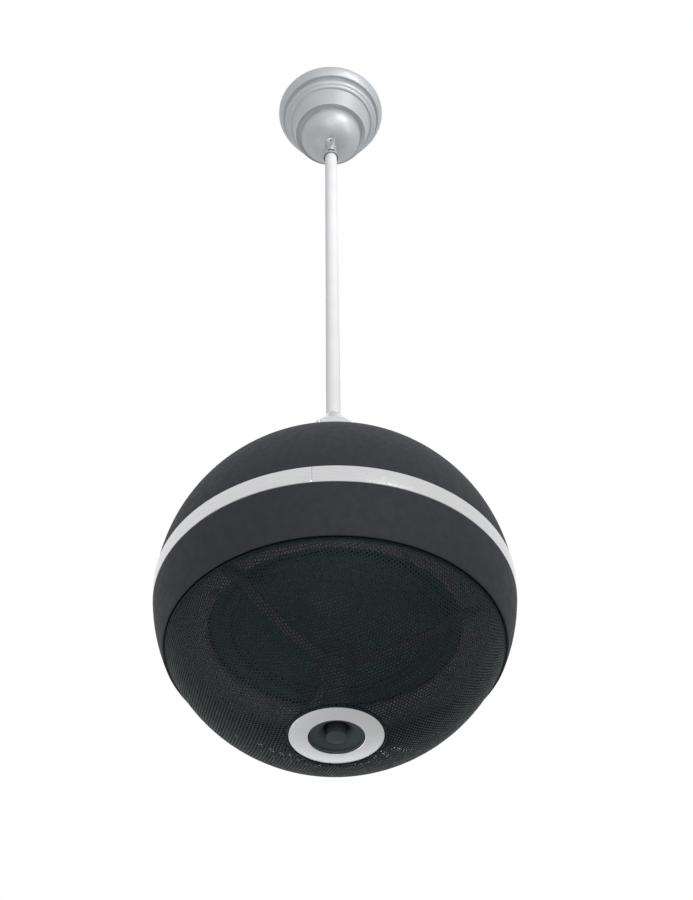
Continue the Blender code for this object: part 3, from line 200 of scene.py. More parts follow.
GRILLE_EDGE_R = RIM_INNER_R - SHADOW_GAP
GRILLE_EDGE = RIM_Z - GRILLE_PROUD
GRILLE_DEPTH = GRILLE_EDGE - NOSE
GRILLE_R = (GRILLE_EDGE_R**2 + GRILLE_DEPTH**2) / (2 * GRILLE_DEPTH)
GRILLE_CENTRE = NOSE + GRILLE_R
GRILLE_OPENING_R = RING_R + GAP
GRILLE_OPENING = GRILLE_CENTRE - math.sqrt(GRILLE_R**2 - GRILLE_OPENING_R**2)
EDGE_ANGLE = math.asin(GRILLE_EDGE_R / GRILLE_R)
OPENING_ANGLE = math.asin(GRILLE_OPENING_R / GRILLE_R)
RING_EDGE = GRILLE_OPENING + RING_RECESS
RING_DISHED = RING_EDGE - RING_DISH
RING_BACK = RING_EDGE + RING_T
HORN_MOUTH = RING_BACK + GAP
HUB_TOP = BAFFLE_FRONT - HUB_DROP
HORN_THROAT = HUB_TOP - HUB_T - GAP
HUB_BORE_R = SNOUT_R + GAP
SNOUT_END = HUB_TOP + GAP - SNOUT_LENGTH
COLLAR_TOP = -DOME_DEPTH - DOME_RISE * math.sqrt(1 - (ROD_HOLE_R / DOME_R) ** 2) - GAP
COLLAR_BOTTOM = COLLAR_TOP - COLLAR_LENGTH
COLLAR_NECK_R = ROD_HOLE_R + COLLAR_NECK_WALL
LIP_BORE_R = TUBE_R + TUBE_CLEAR
LIP_R = LIP_BORE_R + COLLAR_LIP_WALL
COUPLER_HIGH = UPPER_TOP + COUPLER_TOP
SOCKET_BOTTOM = COUPLER_HIGH - TUBE_IN_COUPLER
FRAME_FRONT = BAFFLE_REAR + GAP + GASKET_T + GAP
CONE_NECK = FRAME_FRONT + CONE_DEPTH
CONE_R = ROLL_CENTRE_R - ROLL_R
CONE_HOLE_R = COIL_R + GAP


# Materials


class Surface:
    """A procedural material on the piece's own coordinates."""

    def __init__(self, name, colour, roughness, metallic, specular):
        self.material = bpy.data.materials.new(name)
        self.material.use_nodes = True
        self.material.diffuse_color = (*colour, 1)
        self.nodes = self.material.node_tree.nodes
        self.colour = colour
        self.roughness = roughness
        self.shader = self.nodes["Principled BSDF"]
        self.shader.inputs["Base Color"].default_value = (*colour, 1)
        self.shader.inputs["Roughness"].default_value = roughness
        self.shader.inputs["Metallic"].default_value = metallic
        self.shader.inputs["Specular IOR Level"].default_value = specular
        self.place = self.nodes.new("ShaderNodeTexCoord").outputs["Object"]

    def add(self, kind, values):
        node = self.nodes.new(kind)
        for socket, value in values.items():
            node.inputs[socket].default_value = value
        return node

    def link(self, start, end):
        self.material.node_tree.links.new(start, end)

    def noise(self, scale, detail=3.0, stretch=None):
        """A noise, drawn out along the axes in which stretch is small."""
        node = self.add("ShaderNodeTexNoise", {"Scale": scale, "Detail": detail})
        place = self.place
        if stretch:
            mapping = self.add("ShaderNodeMapping", {"Scale": stretch})
            self.link(place, mapping.inputs["Vector"])
            place = mapping.outputs["Vector"]
        self.link(place, node.inputs["Vector"])
        return node.outputs["Fac"]

    def ranged(self, value, low, high):
        ends = {"From Min": NOISE_LOW, "From Max": NOISE_HIGH, "To Min": low, "To Max": high}
        node = self.add("ShaderNodeMapRange", ends)
        self.link(value, node.inputs["Value"])
        return node.outputs["Result"]

    def mottle(self, value, other):
        """The colour goes over to another where value is high."""
        mix = self.nodes.new("ShaderNodeMix")
        mix.data_type = "RGBA"
        mix.inputs["A"].default_value = (*self.colour, 1)
        mix.inputs["B"].default_value = (*other, 1)
        self.link(self.ranged(value, 0, 1), mix.inputs["Factor"])
        self.link(mix.outputs["Result"], self.shader.inputs["Base Color"])

    def wear(self, value, spread):
        """The surface is less glossy where value is high."""
        low, high = self.roughness - spread, self.roughness + spread
        self.link(self.ranged(value, low, high), self.shader.inputs["Roughness"])

    def bump(self, value, depth):
        node = self.add("ShaderNodeBump", {"Distance": depth, "Strength": 1.0})
        self.link(value, node.inputs["Height"])
        self.link(node.outputs["Normal"], self.shader.inputs["Normal"])


def scaled(colour, share):
    return tuple(channel * share for channel in colour)


def plain(name, colour, roughness, metallic, grain, depth, vary, specular=0.5, tint=(1, 1, 1)):
    """A paint or plastic with a fine grain, or cast metal. It is mottled, down to vary of its colour."""
    made = Surface(name, colour, roughness, metallic, specular)
    made.shader.inputs["Specular Tint"].default_value = (*tint, 1)
    made.mottle(made.noise(MOTTLE_SCALE), scaled(colour, vary))
    made.wear(made.noise(WEAR_SCALE), WEAR)
    made.bump(made.noise(grain, GRAIN_DETAIL), depth)
    return made.material


def brushed(name, colour, roughness, stretch, depth=0.00003, vary=0.88, wear=0.06):
    """Metal with fine lines along the directions in which stretch is small."""
    made = Surface(name, colour, roughness, metallic=1.0, specular=0.5)
    lines = made.noise(BRUSH_SCALE, BRUSH_DETAIL, stretch)
    made.mottle(lines, scaled(colour, vary))
    made.wear(lines, wear)
    made.bump(lines, depth)
    return made.material


# Colour, roughness, metallic, scale and depth of the grain, vary, and then the specular level and its tint.
# The mesh dims what is behind it. So the board, the horn's back, the cone, the rubber and the inner screws
# are lighter than their names suggest.
PLAIN = {
    "housing_paint": ((0.0225, 0.0255, 0.0305), 0.75, 0.0, 2600.0, 0.00002, 0.985, 0.26),
    "grille_paint": ((0.0074, 0.0102, 0.0118), 0.55, 0.0, 1800.0, 0.00002, 0.9, 0.18, (0.62, 0.93, 1.0)),
    "silver_paint": ((0.455, 0.475, 0.495), 0.46, 0.4, 3000.0, 0.00004, 0.96),
    "light_paint": ((0.76, 0.76, 0.78), 0.5, 0.0, 2000.0, 0.00002, 0.97, 0.15),
    "zinc_sheet": ((0.50, 0.51, 0.52), 0.42, 1.0, 900.0, 0.00004, 0.8),
    "zinc_screw": ((0.58, 0.58, 0.56), 0.32, 1.0, 2500.0, 0.00002, 0.85),
    # The threads take this darker look instead of the zinc of their slot.
    "darker_thread": ((0.22, 0.22, 0.23), 0.45, 1.0, 2500.0, 0.00002, 0.85),
    "inner_screw": ((0.22, 0.19, 0.19), 0.6, 0.2, 2500.0, 0.00002, 0.85),
    "brass": ((0.60, 0.45, 0.20), 0.33, 1.0, 2500.0, 0.00002, 0.85),
    "white_nylon": ((0.75, 0.75, 0.70), 0.5, 0.0, 1800.0, 0.00003, 0.95),
    "black_board": ((0.36, 0.290, 0.295), 0.85, 0.0, 700.0, 0.0002, 0.95, 0.2),
    "black_plastic": ((0.135, 0.118, 0.120), 0.6, 0.0, 2200.0, 0.00004, 0.95, 0.2),
    "horn_plastic": ((0.046, 0.058, 0.062), 0.6, 0.0, 2200.0, 0.00001, 0.95, 0.1),
    # The horn's second look: lighter on its back, which lies behind the mesh, and painted light on its shaded
    # neck.
    "horn_back_and_painted_lit_neck": ((0.150, 0.132, 0.134), 0.7, 0.0, 2200.0, 0.00002, 0.95, 0.2),
    "basket_paint": ((0.025, 0.025, 0.025), 0.5, 0.3, 1800.0, 0.00004, 0.85),
    "rubber": ((0.085, 0.12, 0.132), 0.62, 0.0, 2400.0, 0.00004, 0.9, 0.2),
    "coated_paper": ((0.090, 0.132, 0.152), 0.6, 0.0, 420.0, 0.00020, 0.9, 0.2),
    "felt": ((0.055, 0.055, 0.055), 0.95, 0.0, 900.0, 0.0004, 0.6, 0.2),
    "ferrite": ((0.05, 0.05, 0.05), 0.65, 0.0, 1200.0, 0.0001, 0.75),
    "circuit_board": ((0.03, 0.14, 0.06), 0.4, 0.0, 600.0, 0.00005, 0.75),
    "capacitor_film": ((0.55, 0.42, 0.10), 0.3, 0.0, 1200.0, 0.00003, 0.9),
}
# Colour, roughness and stretch, and then the lines' depth, vary and wear
BRUSHED = {
    "polished_steel": ((0.66, 0.66, 0.67), 0.16, (1, 1, 60)),
    "ring_steel": ((0.82, 0.83, 0.84), 0.30, (6, 6, 1), 0.000002, 0.98, 0.015),
    "satin_chrome": ((0.70, 0.72, 0.74), 0.22, (1, 1, 40)),
    "copper_wire": ((0.50, 0.20, 0.09), 0.35, (1, 1, 20), 0.0003),
    "lamination": ((0.22, 0.22, 0.23), 0.5, (1, 30, 1), 0.0002),
}
LOOKS = {name: plain(name, *numbers) for name, numbers in PLAIN.items()}
LOOKS |= {name: brushed(name, *numbers) for name, numbers in BRUSHED.items()}

for row in frame["record"]["subparts"]:
    node = frame["nodes"][row["node"]]
    node.data.materials.clear()
    node.data.materials.append(LOOKS[row["material_slot"]])


# Outlines, as lists of a radius and a height


def bowed(first, last, bow, count):
    """The points after first and up to last on a curve that bulges by bow."""
    across = last[0] - first[0]
    up = last[1] - first[1]
    length = math.hypot(across, up)
    points = []
    for step in range(1, count + 1):
        share = step / count
        off = 4 * bow * share * (1 - share) / length
        points.append((first[0] + across * share - up * off, first[1] + up * share + across * off))
    return points


def sphere_side(radius, centre, start, end, count):
    """The side of a sphere from the height start to the height end."""
    first, last = [math.asin(max(-1, min(1, (height - centre) / radius))) for height in (start, end)]
    angles = [first + (last - first) * step / count for step in range(count + 1)]
    return [(radius * math.cos(angle), centre + radius * math.sin(angle)) for angle in angles]


def top_of(radius, centre, at):
    """The height of a sphere's upper side at a distance from the axis."""
    return centre + math.sqrt(radius**2 - at**2)


def on_dome(radius, angles):
    """Points at angles from the grille's nose."""
    return [(radius * math.sin(angle), GRILLE_CENTRE - radius * math.cos(angle)) for angle in angles]


def eased(outline, radius, closed=True):
    """The outline with each clear corner rounded off."""
    made = []
    for place, here in enumerate(outline):
        corner = Vector(here)
        before = Vector(outline[place - 1]) - corner
        after = Vector(outline[(place + 1) % len(outline)]) - corner
        is_end = not closed and place in (0, len(outline) - 1)
        is_kept = is_end or here[0] == 0 or min(before.length, after.length) < SAME_SPOT
        if is_kept or math.pi - before.angle(after) < LEAST_BEND:
            made.append(here)
            continue
        cut = min(radius, before.length * MOST_CUT, after.length * MOST_CUT)
        start = corner + before.normalized() * cut
        end = corner + after.normalized() * cut
        for share in CORNER_SHARES:
            point = start * (1 - share) ** 2 + corner * 2 * share * (1 - share) + end * share**2
            made.append((point.x, point.y))
    return made


# Meshes


def new_object(name, points, faces, sharp=SHARP):
    mesh = bpy.data.meshes.new(name)
    mesh.from_pydata(points, [], faces)
    mesh.update()
    mesh.shade_smooth()
    mesh.set_sharp_from_angle(angle=sharp)
    made = bpy.data.objects.new(name, mesh)
    bpy.context.scene.collection.objects.link(made)
    return made


def new_piece(name, points, faces, slot, node, look=None, sharp=SHARP):
    """A piece in the place of a node, with its slot's look or another one."""
    piece = new_object(name, points, faces, sharp)
    piece.data.materials.append(LOOKS[look or slot])
    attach(piece, "root")
    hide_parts(node)
    return piece


def new_cutter(name, points, faces):
    """A hidden mesh that cuts or joins."""
    cutter = new_object(name, points, faces)
    cutter.hide_render = True
    cutter.hide_viewport = True
    return cutter


def circle(radius, height, steps):
    angles = [2 * math.pi * step / steps for step in range(steps)]
    return [(radius * math.cos(angle), radius * math.sin(angle), height) for angle in angles]


def between(lower, upper):
    """The faces between two rings of points."""
    following = [*range(1, len(lower)), 0]
    return [(lower[step], lower[after], upper[after], upper[step]) for step, after in enumerate(following)]


def turned(name, outline, steps, slot, node, base=-DROP, look=None, closed=True):
    """Turns an outline that runs down its outer side about the upright axis."""
    rings = []
    points = []
    for radius, height in outline:
        if radius == 0:
            rings.append([len(points)] * steps)
            points.append((0, 0, base + height))
        else:
            rings.append(range(len(points), len(points) + steps))
            points += circle(radius, base + height, steps)
    pairs = list(zip(rings, rings[1:]))
    on_axis = outline[0][0] == 0 and outline[-1][0] == 0
    if closed and not on_axis:
        pairs.append((rings[-1], rings[0]))
    faces = []
    for upper, lower in pairs:
        for step in range(steps):
            after = (step + 1) % steps
            corners = dict.fromkeys((upper[step], lower[step], lower[after], upper[after]))
            if len(corners) > 2:
                faces.append(tuple(corners))
    return new_piece(name, points, faces, slot, node, look)


def rod_cutter(name, start, end, radius, steps):
    along = Vector(end) - Vector(start)
    turn = along.to_track_quat("Z", "Y").to_matrix()
    spots = circle(radius, 0, steps) + circle(radius, along.length, steps)
    points = [Vector(start) + turn @ Vector(spot) for spot in spots]
    lower, upper = range(steps), range(steps, 2 * steps)
    return new_cutter(name, points, [tuple(reversed(lower)), tuple(upper), *between(lower, upper)])


def box_cutter(name, size, centre, azimuth=0.0):
    turn = Matrix.Rotation(math.radians(azimuth), 3, "Z")
    corners = [(x, y, z) for x in (-0.5, 0.5) for y in (-0.5, 0.5) for z in (-0.5, 0.5)]
    points = [turn @ (Vector(centre) + Vector([c * s for c, s in zip(corner, size)])) for corner in corners]
    faces = [(0, 1, 3, 2), (4, 6, 7, 5), (0, 4, 5, 1), (2, 3, 7, 6), (0, 2, 6, 4), (1, 5, 7, 3)]
    return new_cutter(name, points, faces)


def boolean(piece, cutter, operation="DIFFERENCE"):
    modifier = piece.modifiers.new(cutter.name, "BOOLEAN")
    modifier.operation = operation
    modifier.solver = "EXACT"
    modifier.object = cutter


# Canopy, tube and coupler


def make_canopy():
    """The canopy's cover, turned open and then given its thickness inward."""
    outline = [(CANOPY_R, 0), (CANOPY_R, -RIM_DEPTH)]
    outline += bowed(outline[-1], (BEVEL_R, -BEVEL_DEPTH), BEVEL_BOW, BOW_STEPS)
    outline += [(COVE_R, -COVE_DEPTH)]
    outline += bowed(outline[-1], (BEAD_R, -BEAD_DEPTH), -BEVEL_BOW, BOW_STEPS)
    outline += bowed((BEAD_R, -BEAD_DEPTH), CREASE, BEAD_BOW * BEAD_BOW_SHARE, BOW_STEPS)
    outline += bowed(CREASE, (STEP_R, -STEP_DEPTH), BEAD_BOW * CREASE_BOW_SHARE, CREASE_STEPS)
    outline += [(STEP_R - STEP_IN, -STEP_DEPTH), (NECK_R, -NECK_DEPTH), (NECK_END_R, -NECK_END_DEPTH)]
    outline += [(GROOVE_R, -GROOVE_DEPTH), (DOME_R, -GROOVE_DEPTH), (DOME_R, -DOME_DEPTH)]
    last = math.acos(ROD_HOLE_R / DOME_R)
    for step in range(1, DOME_STEPS + 1):
        angle = last * step / DOME_STEPS
        outline.append((DOME_R * math.cos(angle), -DOME_DEPTH - DOME_RISE * math.sin(angle)))
    outline = eased(outline, COVER_ROUND, closed=False)
    cover = turned("canopy_cover", outline, CANOPY_STEPS, "silver_paint", "canopy", 0, closed=False)
    wall = cover.modifiers.new("Thickness", "SOLIDIFY")
    wall.thickness = CANOPY_T
    wall.offset = -1
    wall.use_even_offset = True


def make_collar():
    """The collar under the canopy, with the boss of its screw and its window."""
    lip_top = COLLAR_BOTTOM + LIP_HEIGHT
    outline = [(COLLAR_NECK_R, COLLAR_TOP), (COLLAR_NECK_R, COLLAR_BOTTOM + SKIRT_LENGTH)]
    outline += bowed(outline[-1], (LIP_R, lip_top), -SKIRT_BOW, BOW_STEPS)
    outline += [(LIP_R, COLLAR_BOTTOM), (LIP_BORE_R, COLLAR_BOTTOM), (LIP_BORE_R, lip_top)]
    outline += [(ROD_HOLE_R, COLLAR_BOTTOM + CUP_DEPTH), (ROD_HOLE_R, COLLAR_TOP)]
    collar = turned("collar", eased(outline, EDGE_ROUND), FITTING_STEPS, "silver_paint", "hanger_collar", 0)

    boss_z = COLLAR_TOP - BOSS_DOWN
    root, face = (0, -NIPPLE_R - GAP / 2, boss_z), (0, -BOSS_REACH, boss_z)
    boolean(collar, rod_cutter("boss", root, face, BOSS_R, BOSS_STEPS), "UNION")
    start, end = (0, -NIPPLE_R, boss_z), (0, -2 * BOSS_REACH, boss_z)
    boolean(collar, rod_cutter("boss_bore", start, end, SET_SCREW_R + GAP, BOSS_STEPS))
    window_z = COLLAR_BOTTOM + WINDOW_UP + WINDOW_HEIGHT / 2
    boolean(collar, box_cutter("window", (WINDOW_WIDTH, LIP_R, WINDOW_HEIGHT), (0, -LIP_R, window_z)))


def make_tube():
    low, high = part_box("hanging_tube")
    bore_r = TUBE_R - TUBE_WALL
    outline = [(TUBE_R, high.z), (TUBE_R, low.z), (bore_r, low.z), (bore_r, high.z)]
    turned("tube", eased(outline, EDGE_ROUND), FITTING_STEPS, "light_paint", "hanging_tube", 0)


def make_thread(name, node):
    """A hollow rod with a thread that winds along it."""
    low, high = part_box(node)
    count = int((high.z - low.z) / THREAD_PITCH * THREAD_ROWS)
    points = []
    for row in range(count + 1):
        height = low.z + (high.z - low.z) * row / count
        for step in range(THREAD_STEPS):
            angle = 2 * math.pi * step / THREAD_STEPS
            phase = (row / THREAD_ROWS - step / THREAD_STEPS) % 1
            radius = NIPPLE_R - THREAD_DEPTH * abs(2 * phase - 1)
            points.append((radius * math.cos(angle), radius * math.sin(angle), height))
    for height in (high.z, low.z):
        points += circle(NIPPLE_BORE_R, height, THREAD_STEPS)
    rings = [range(start, start + THREAD_STEPS) for start in range(0, len(points), THREAD_STEPS)]
    pairs = zip(rings, rings[1:] + rings[:1])
    faces = [face for lower, upper in pairs for face in between(lower, upper)]
    new_piece(name, points, faces, "zinc_screw", node, "darker_thread")


def make_coupler():
    """The coupler, which sits on the ball, with a bore for each of its screws."""
    socket_r = TUBE_R + GAP
    seat_r = UPPER_R + GAP
    flare_low = COUPLER_HIGH - FLARE_DEPTH
    body_low = flare_low - COUPLER_EDGE - COUPLER_BODY
    base_low = top_of(seat_r, UPPER_CENTRE, BASE_R)
    seat_high = top_of(seat_r, UPPER_CENTRE, ROD_HOLE_R)
    outline = [(socket_r + COUPLER_LIP_WALL, COUPLER_HIGH)]
    outline += bowed(outline[0], (COUPLER_R - COUPLER_EDGE / 2, flare_low), -FLARE_BOW, FLARE_STEPS)
    outline += [(COUPLER_R, flare_low - COUPLER_EDGE), (COUPLER_R, body_low)]
    outline += bowed(outline[-1], (BASE_R, base_low + BASE_EDGE), -BASE_BOW, FOOT_STEPS)
    outline += sphere_side(seat_r, UPPER_CENTRE, base_low, seat_high, SEAT_STEPS)
    outline += [(ROD_HOLE_R, SOCKET_BOTTOM), (socket_r, SOCKET_BOTTOM), (socket_r, COUPLER_HIGH)]
    coupler = turned("coupler", eased(outline, EDGE_ROUND), FITTING_STEPS, "satin_chrome", "ball_coupler")

    height = COUPLER_HIGH - COUPLER_SCREW_DOWN - DROP
    for place, azimuth in (("front", COUPLER_SCREW_AZIMUTH), ("rear", COUPLER_SCREW_AZIMUTH + 180)):
        angle = math.radians(azimuth)
        start, end = [(r * math.cos(angle), r * math.sin(angle), height) for r in (TUBE_R, 2 * COUPLER_R)]
        boolean(coupler, rod_cutter(f"coupler_bore_{place}", start, end, COUPLER_BORE_R, BORE_STEPS))


# Ball


def make_upper_shell():
    """The upper shell, with its skirt behind the band."""
    inner_r = UPPER_R - UPPER_WALL
    skirt_inner_r = SKIRT_R - SKIRT_T
    top, inner_top = [top_of(radius, UPPER_CENTRE, ROD_HOLE_R) for radius in (UPPER_R, inner_r)]
    skirt_top = top_of(inner_r, UPPER_CENTRE, skirt_inner_r)
    outline = sphere_side(UPPER_R, UPPER_CENTRE, top, UPPER_EDGE, SHELL_STEPS)
    outline += [(SKIRT_R, UPPER_EDGE), (SKIRT_R, BAND_BOTTOM), (skirt_inner_r, BAND_BOTTOM)]
    outline += sphere_side(inner_r, UPPER_CENTRE, skirt_top, inner_top, LINING_STEPS)
    turned("shell_upper", eased(outline, EDGE_ROUND), BALL_STEPS, "housing_paint", "upper_shell")


def make_band():
    """The band, with its fine seam."""
    band_r = BALL_R + BAND_PROUD
    lower_r = math.sqrt(band_r**2 - BAND_BOTTOM**2)
    outline = [(BAND_BACK_R, BAND_TOP), (band_r - BAND_CHAMFER, BAND_TOP)]
    outline += sphere_side(band_r, 0, BAND_TOP - BAND_CHAMFER, BAND_BOTTOM + BAND_CHAMFER, BAND_SIDE_STEPS)
    outline += [(lower_r - BAND_CHAMFER, BAND_BOTTOM), (BAND_BACK_R, BAND_BOTTOM)]
    band = turned("band", outline, BAND_ROUND_STEPS, "polished_steel", "trim_band")
    size = (BALL_R / 4, FINE_SEAM, 2 * (BAND_TOP - BAND_BOTTOM))
    middle = (BALL_R, 0, (BAND_TOP + BAND_BOTTOM) / 2 - DROP)
    boolean(band, box_cutter("seam", size, middle, SEAM_AZIMUTH))


def make_lower_shell():
    """The lower shell, with its spigot, its rim and the ledge under the baffle."""
    shoulder = BAND_BOTTOM - GAP
    spigot_inner_r = SPIGOT_R - SPIGOT_T
    rim_low = RIM_Z - RIM_ROUND
    outline = [(SPIGOT_R, SPIGOT_TOP), (SPIGOT_R, shoulder)]
    outline += sphere_side(BALL_R, 0, shoulder, RIM_Z, LOWER_STEPS)
    outline += [(RIM_R - RIM_ROUND, rim_low), (RIM_INNER_R + RIM_ROUND, rim_low), (RIM_INNER_R, RIM_Z)]
    outline += [(RIM_INNER_R, LEDGE_BOTTOM), (LEDGE_R, LEDGE_BOTTOM), (LEDGE_R, LEDGE_TOP)]
    outline += [(LEDGE_OUTER_R, LEDGE_TOP), (spigot_inner_r, -math.sqrt(INNER_R**2 - spigot_inner_r**2))]
    outline += [(spigot_inner_r, SPIGOT_TOP)]
    turned("shell_lower", eased(outline, EDGE_ROUND), BALL_STEPS, "housing_paint", "lower_shell")


def hole_centres():
    """The centres of the grille's holes, in even rows on the sheet laid out flat."""
    edge, opening = GRILLE_R * EDGE_ANGLE, GRILLE_R * OPENING_ANGLE
    most = 2 * (int(edge / PITCH) + 2)
    across, up = np.meshgrid(np.arange(-most, most + 1), np.arange(-most, most + 1))
    centres = np.stack([PITCH * (across + up / 2), PITCH * up * math.sqrt(3) / 2], 2).reshape(-1, 2)
    lean = math.radians(LATTICE_TURN)
    centres = centres @ np.array([[math.cos(lean), math.sin(lean)], [-math.sin(lean), math.cos(lean)]])
    reach = np.hypot(centres[:, 0], centres[:, 1])
    return centres[(reach > opening + CLEAR_OF_OPENING) & (reach < edge - CLEAR_OF_EDGE)]


def spokes(count):
    """Even directions round a hole, the first of them to a corner of its cell."""
    turns = np.radians(CELL_TURN + 360 / count * np.arange(count))
    return np.stack([np.cos(turns), np.sin(turns)], 1)


def make_mesh(name, centres):
    """A perforated sheet: a six-sided cell round each hole, bent to the dome, with its thickness."""
    cells = (centres[:, None] + spokes(CELL_SIDES) * PITCH / math.sqrt(3)).reshape(-1, 2)
    keys, cell = np.unique(np.round(cells / SAME_CORNER).astype(int), axis=0, return_inverse=True)
    cell = cell.reshape(-1, CELL_SIDES)
    shared = np.zeros((len(keys), 2))
    shared[cell.reshape(-1)] = cells
    holes = (centres[:, None] + spokes(HOLE_SIDES) * HOLE_R).reshape(-1, 2)
    flat = np.concatenate([shared, holes])
    angle = np.hypot(flat[:, 0], flat[:, 1]) / GRILLE_R
    turn = np.arctan2(flat[:, 1], flat[:, 0])
    layers = []
    for radius in (GRILLE_R, GRILLE_R - SHEET_T):
        across = radius * np.sin(angle)
        height = GRILLE_CENTRE - radius * np.cos(angle) - DROP
        layers.append(np.stack([across * np.cos(turn), across * np.sin(turn), height], 1))

    size = len(flat)
    rim = len(keys) + np.arange(len(holes)).reshape(-1, HOLE_SIDES)
    rim_next = np.roll(rim, -1, axis=1)
    even, odd = rim[:, 0::2], rim[:, 1::2]
    corners = [even, odd, np.roll(even, -1, axis=1), np.roll(cell, -1, axis=1), cell]
    front = np.stack(corners, 2).reshape(-1, len(corners))
    back = front[:, ::-1] + size
    sides = np.stack([rim, rim + size, rim_next + size, rim_next], 2).reshape(-1, 4)
    faces = front.tolist() + back.tolist() + sides.tolist()
    points = np.concatenate(layers).tolist()
    new_piece(name, points, faces, "grille_paint", "grille_dome", sharp=SHEET_SHARP)


def make_grille():
    """The dome's mesh in four quarters, the hem at its edge and the collar round its opening."""
    centres = hole_centres()
    turn = np.degrees(np.arctan2(centres[:, 1], centres[:, 0])) % 360
    for place, letter in enumerate("abcd"):
        make_mesh(f"grille_mesh_{letter}", centres[(turn >= 90 * place) & (turn < 90 * place + 90)])

    radius = GRILLE_R - HEM_INSET
    hem = HEM_WIDTH / GRILLE_R
    high, lip_high = LEDGE_BOTTOM - GAP, GRILLE_EDGE + GRILLE_T
    lip_r, back_r = GRILLE_EDGE_R + HEM_LIP, GRILLE_EDGE_R - GRILLE_T
    outline = [(GRILLE_EDGE_R, high), (GRILLE_EDGE_R, GRILLE_EDGE + 2 * GRILLE_T)]
    outline += [(lip_r, lip_high), (lip_r, GRILLE_EDGE)]
    outline += on_dome(radius, [EDGE_ANGLE - hem * share for share in HEM_SHARES])
    outline += [(outline[-1][0], outline[-1][1] + HEM_BACK), (back_r, lip_high), (back_r, high)]
    turned("grille_hem", outline, BALL_STEPS, "grille_paint", "grille_dome")

    outline = on_dome(radius, [OPENING_ANGLE + hem * share for share in OPENING_SHARES])
    outline += [(GRILLE_OPENING_R, RING_BACK), (GRILLE_OPENING_R + GRILLE_T, RING_BACK)]
    outline += [(outline[0][0], outline[0][1] + HEM_BACK)]
    turned("grille_collar", outline, DRIVER_STEPS, "grille_paint", "grille_dome")


def make_ring():
    slope = RING_DISH / (RING_R - RING_BORE_R)
    outline = [(RING_R, RING_BACK), (RING_R, RING_EDGE + RING_CHAMFER)]
    outline += [(RING_R - RING_CHAMFER, RING_EDGE - slope * RING_CHAMFER)]
    outline += [(RING_BORE_R + BORE_EDGE, RING_DISHED + slope * BORE_EDGE)]
    outline += [(RING_BORE_R, RING_DISHED + BORE_EDGE), (RING_BORE_R, RING_BACK)]
    outline = eased(outline, RING_ROUND)
    turned("nose_ring", outline, CANOPY_STEPS, "polished_steel", "apex_ring", look="ring_steel")


def make_horn():
    """The horn, with a second, lighter look on its back and neck. On the neck that lighter look is painted
    light, lifting the shade in the throat beside the plug.
    """
    throat = SNOUT_END - GAP
    flange_top = HORN_MOUTH + HORN_FLANGE_T
    waist_r = PLUG_R + HORN_SLOT
    waist = HORN_MOUTH + DISH_DEPTH
    dish = []
    back = []
    for step in range(DISH_STEPS + 1):
        angle = math.pi / 2 * step / DISH_STEPS
        radius = RING_BORE_R - (RING_BORE_R - waist_r) * math.sin(angle)
        height = waist - DISH_DEPTH * math.cos(angle)
        dish.append((radius, height))
        back.append((radius + HORN_T * math.sin(angle), height + HORN_T * math.cos(angle)))
    back = [point for point in back if point[1] > flange_top]
    outline = [(THROAT_FLANGE_R, HORN_THROAT), (THROAT_FLANGE_R, throat), (HUB_BORE_R + HORN_T, throat)]
    outline += [*back[::-1], (RING_BORE_R, flange_top), (HORN_FLANGE_R, flange_top)]
    outline += [(HORN_FLANGE_R, HORN_MOUTH), *dish, (HUB_BORE_R, throat), (HUB_BORE_R, HORN_THROAT)]
    horn = turned("horn", eased(outline, EDGE_ROUND), DRIVER_STEPS, "horn_plastic", "tweeter_horn")
    horn.data.materials.append(LOOKS["horn_back_and_painted_lit_neck"])
    for face in horn.data.polygons:
        spot, facing = face.center, face.normal
        on_back = spot.x * facing.x + spot.y * facing.y > 0 or facing.z > BACK_FACING
        # Painted light: the neck above the dish's waist lies in shade and takes the lighter look.
        on_neck = spot.z > waist - DROP and math.hypot(spot.x, spot.y) > HUB_BORE_R + HORN_T / 2
        face.material_index = int(on_back or on_neck)


def make_plug():
    wide = RING_DISHED + PLUG_EDGE
    tail = wide + PLUG_LENGTH
    tip = RING_DISHED - PLUG_RISE
    bulge_r = (PLUG_R**2 + PLUG_RISE**2) / (2 * PLUG_RISE)
    outline = [(0, HUB_TOP - GAP), (PLUG_STEM_R, HUB_TOP - GAP), (PLUG_STEM_R, tail)]
    outline += bowed((PLUG_STEM_R, tail), (PLUG_R, wide), PLUG_BOW, PLUG_STEPS)
    outline += sphere_side(bulge_r, tip + bulge_r, RING_DISHED, tip, PLUG_STEPS)
    outline[-1] = (0, tip)
    turned("plug", eased(outline, EDGE_ROUND), FITTING_STEPS, "horn_plastic", "phase_plug")


def make_baffle():
    outline = [(BAFFLE_R, BAFFLE_REAR), (BAFFLE_R, BAFFLE_FRONT), (OPENING_R + BAFFLE_CHAMFER, BAFFLE_FRONT)]
    outline += [(OPENING_R, BAFFLE_FRONT + BAFFLE_CHAMFER), (OPENING_R, BAFFLE_REAR)]
    turned("baffle", eased(outline, EDGE_ROUND), BALL_STEPS, "black_board", "baffle_ring")


def make_surround():
    back = FRAME_FRONT - GAP
    front = back - SURROUND_T
    roll_outer_r = ROLL_CENTRE_R + ROLL_R
    inner_r = ROLL_R - SURROUND_T
    glue_r = CONE_R - GLUE_WIDTH
    turns = [math.pi * step / ROLL_STEPS for step in range(1, ROLL_STEPS)]
    outline = [(OPENING_R, back), (OPENING_R, front), (roll_outer_r, front)]
    outline += [(ROLL_CENTRE_R + ROLL_R * math.cos(turn), front - ROLL_R * math.sin(turn)) for turn in turns]
    outline += [(CONE_R, front), (glue_r, front), (glue_r, back), (CONE_R, back), (CONE_R + SURROUND_T, front)]
    outline += [(ROLL_CENTRE_R - inner_r * math.cos(turn), front - inner_r * math.sin(turn)) for turn in turns]
    outline += [(roll_outer_r - SURROUND_T, front), (roll_outer_r, back)]
    turned("surround", outline, DRIVER_STEPS, "rubber", "woofer_surround")


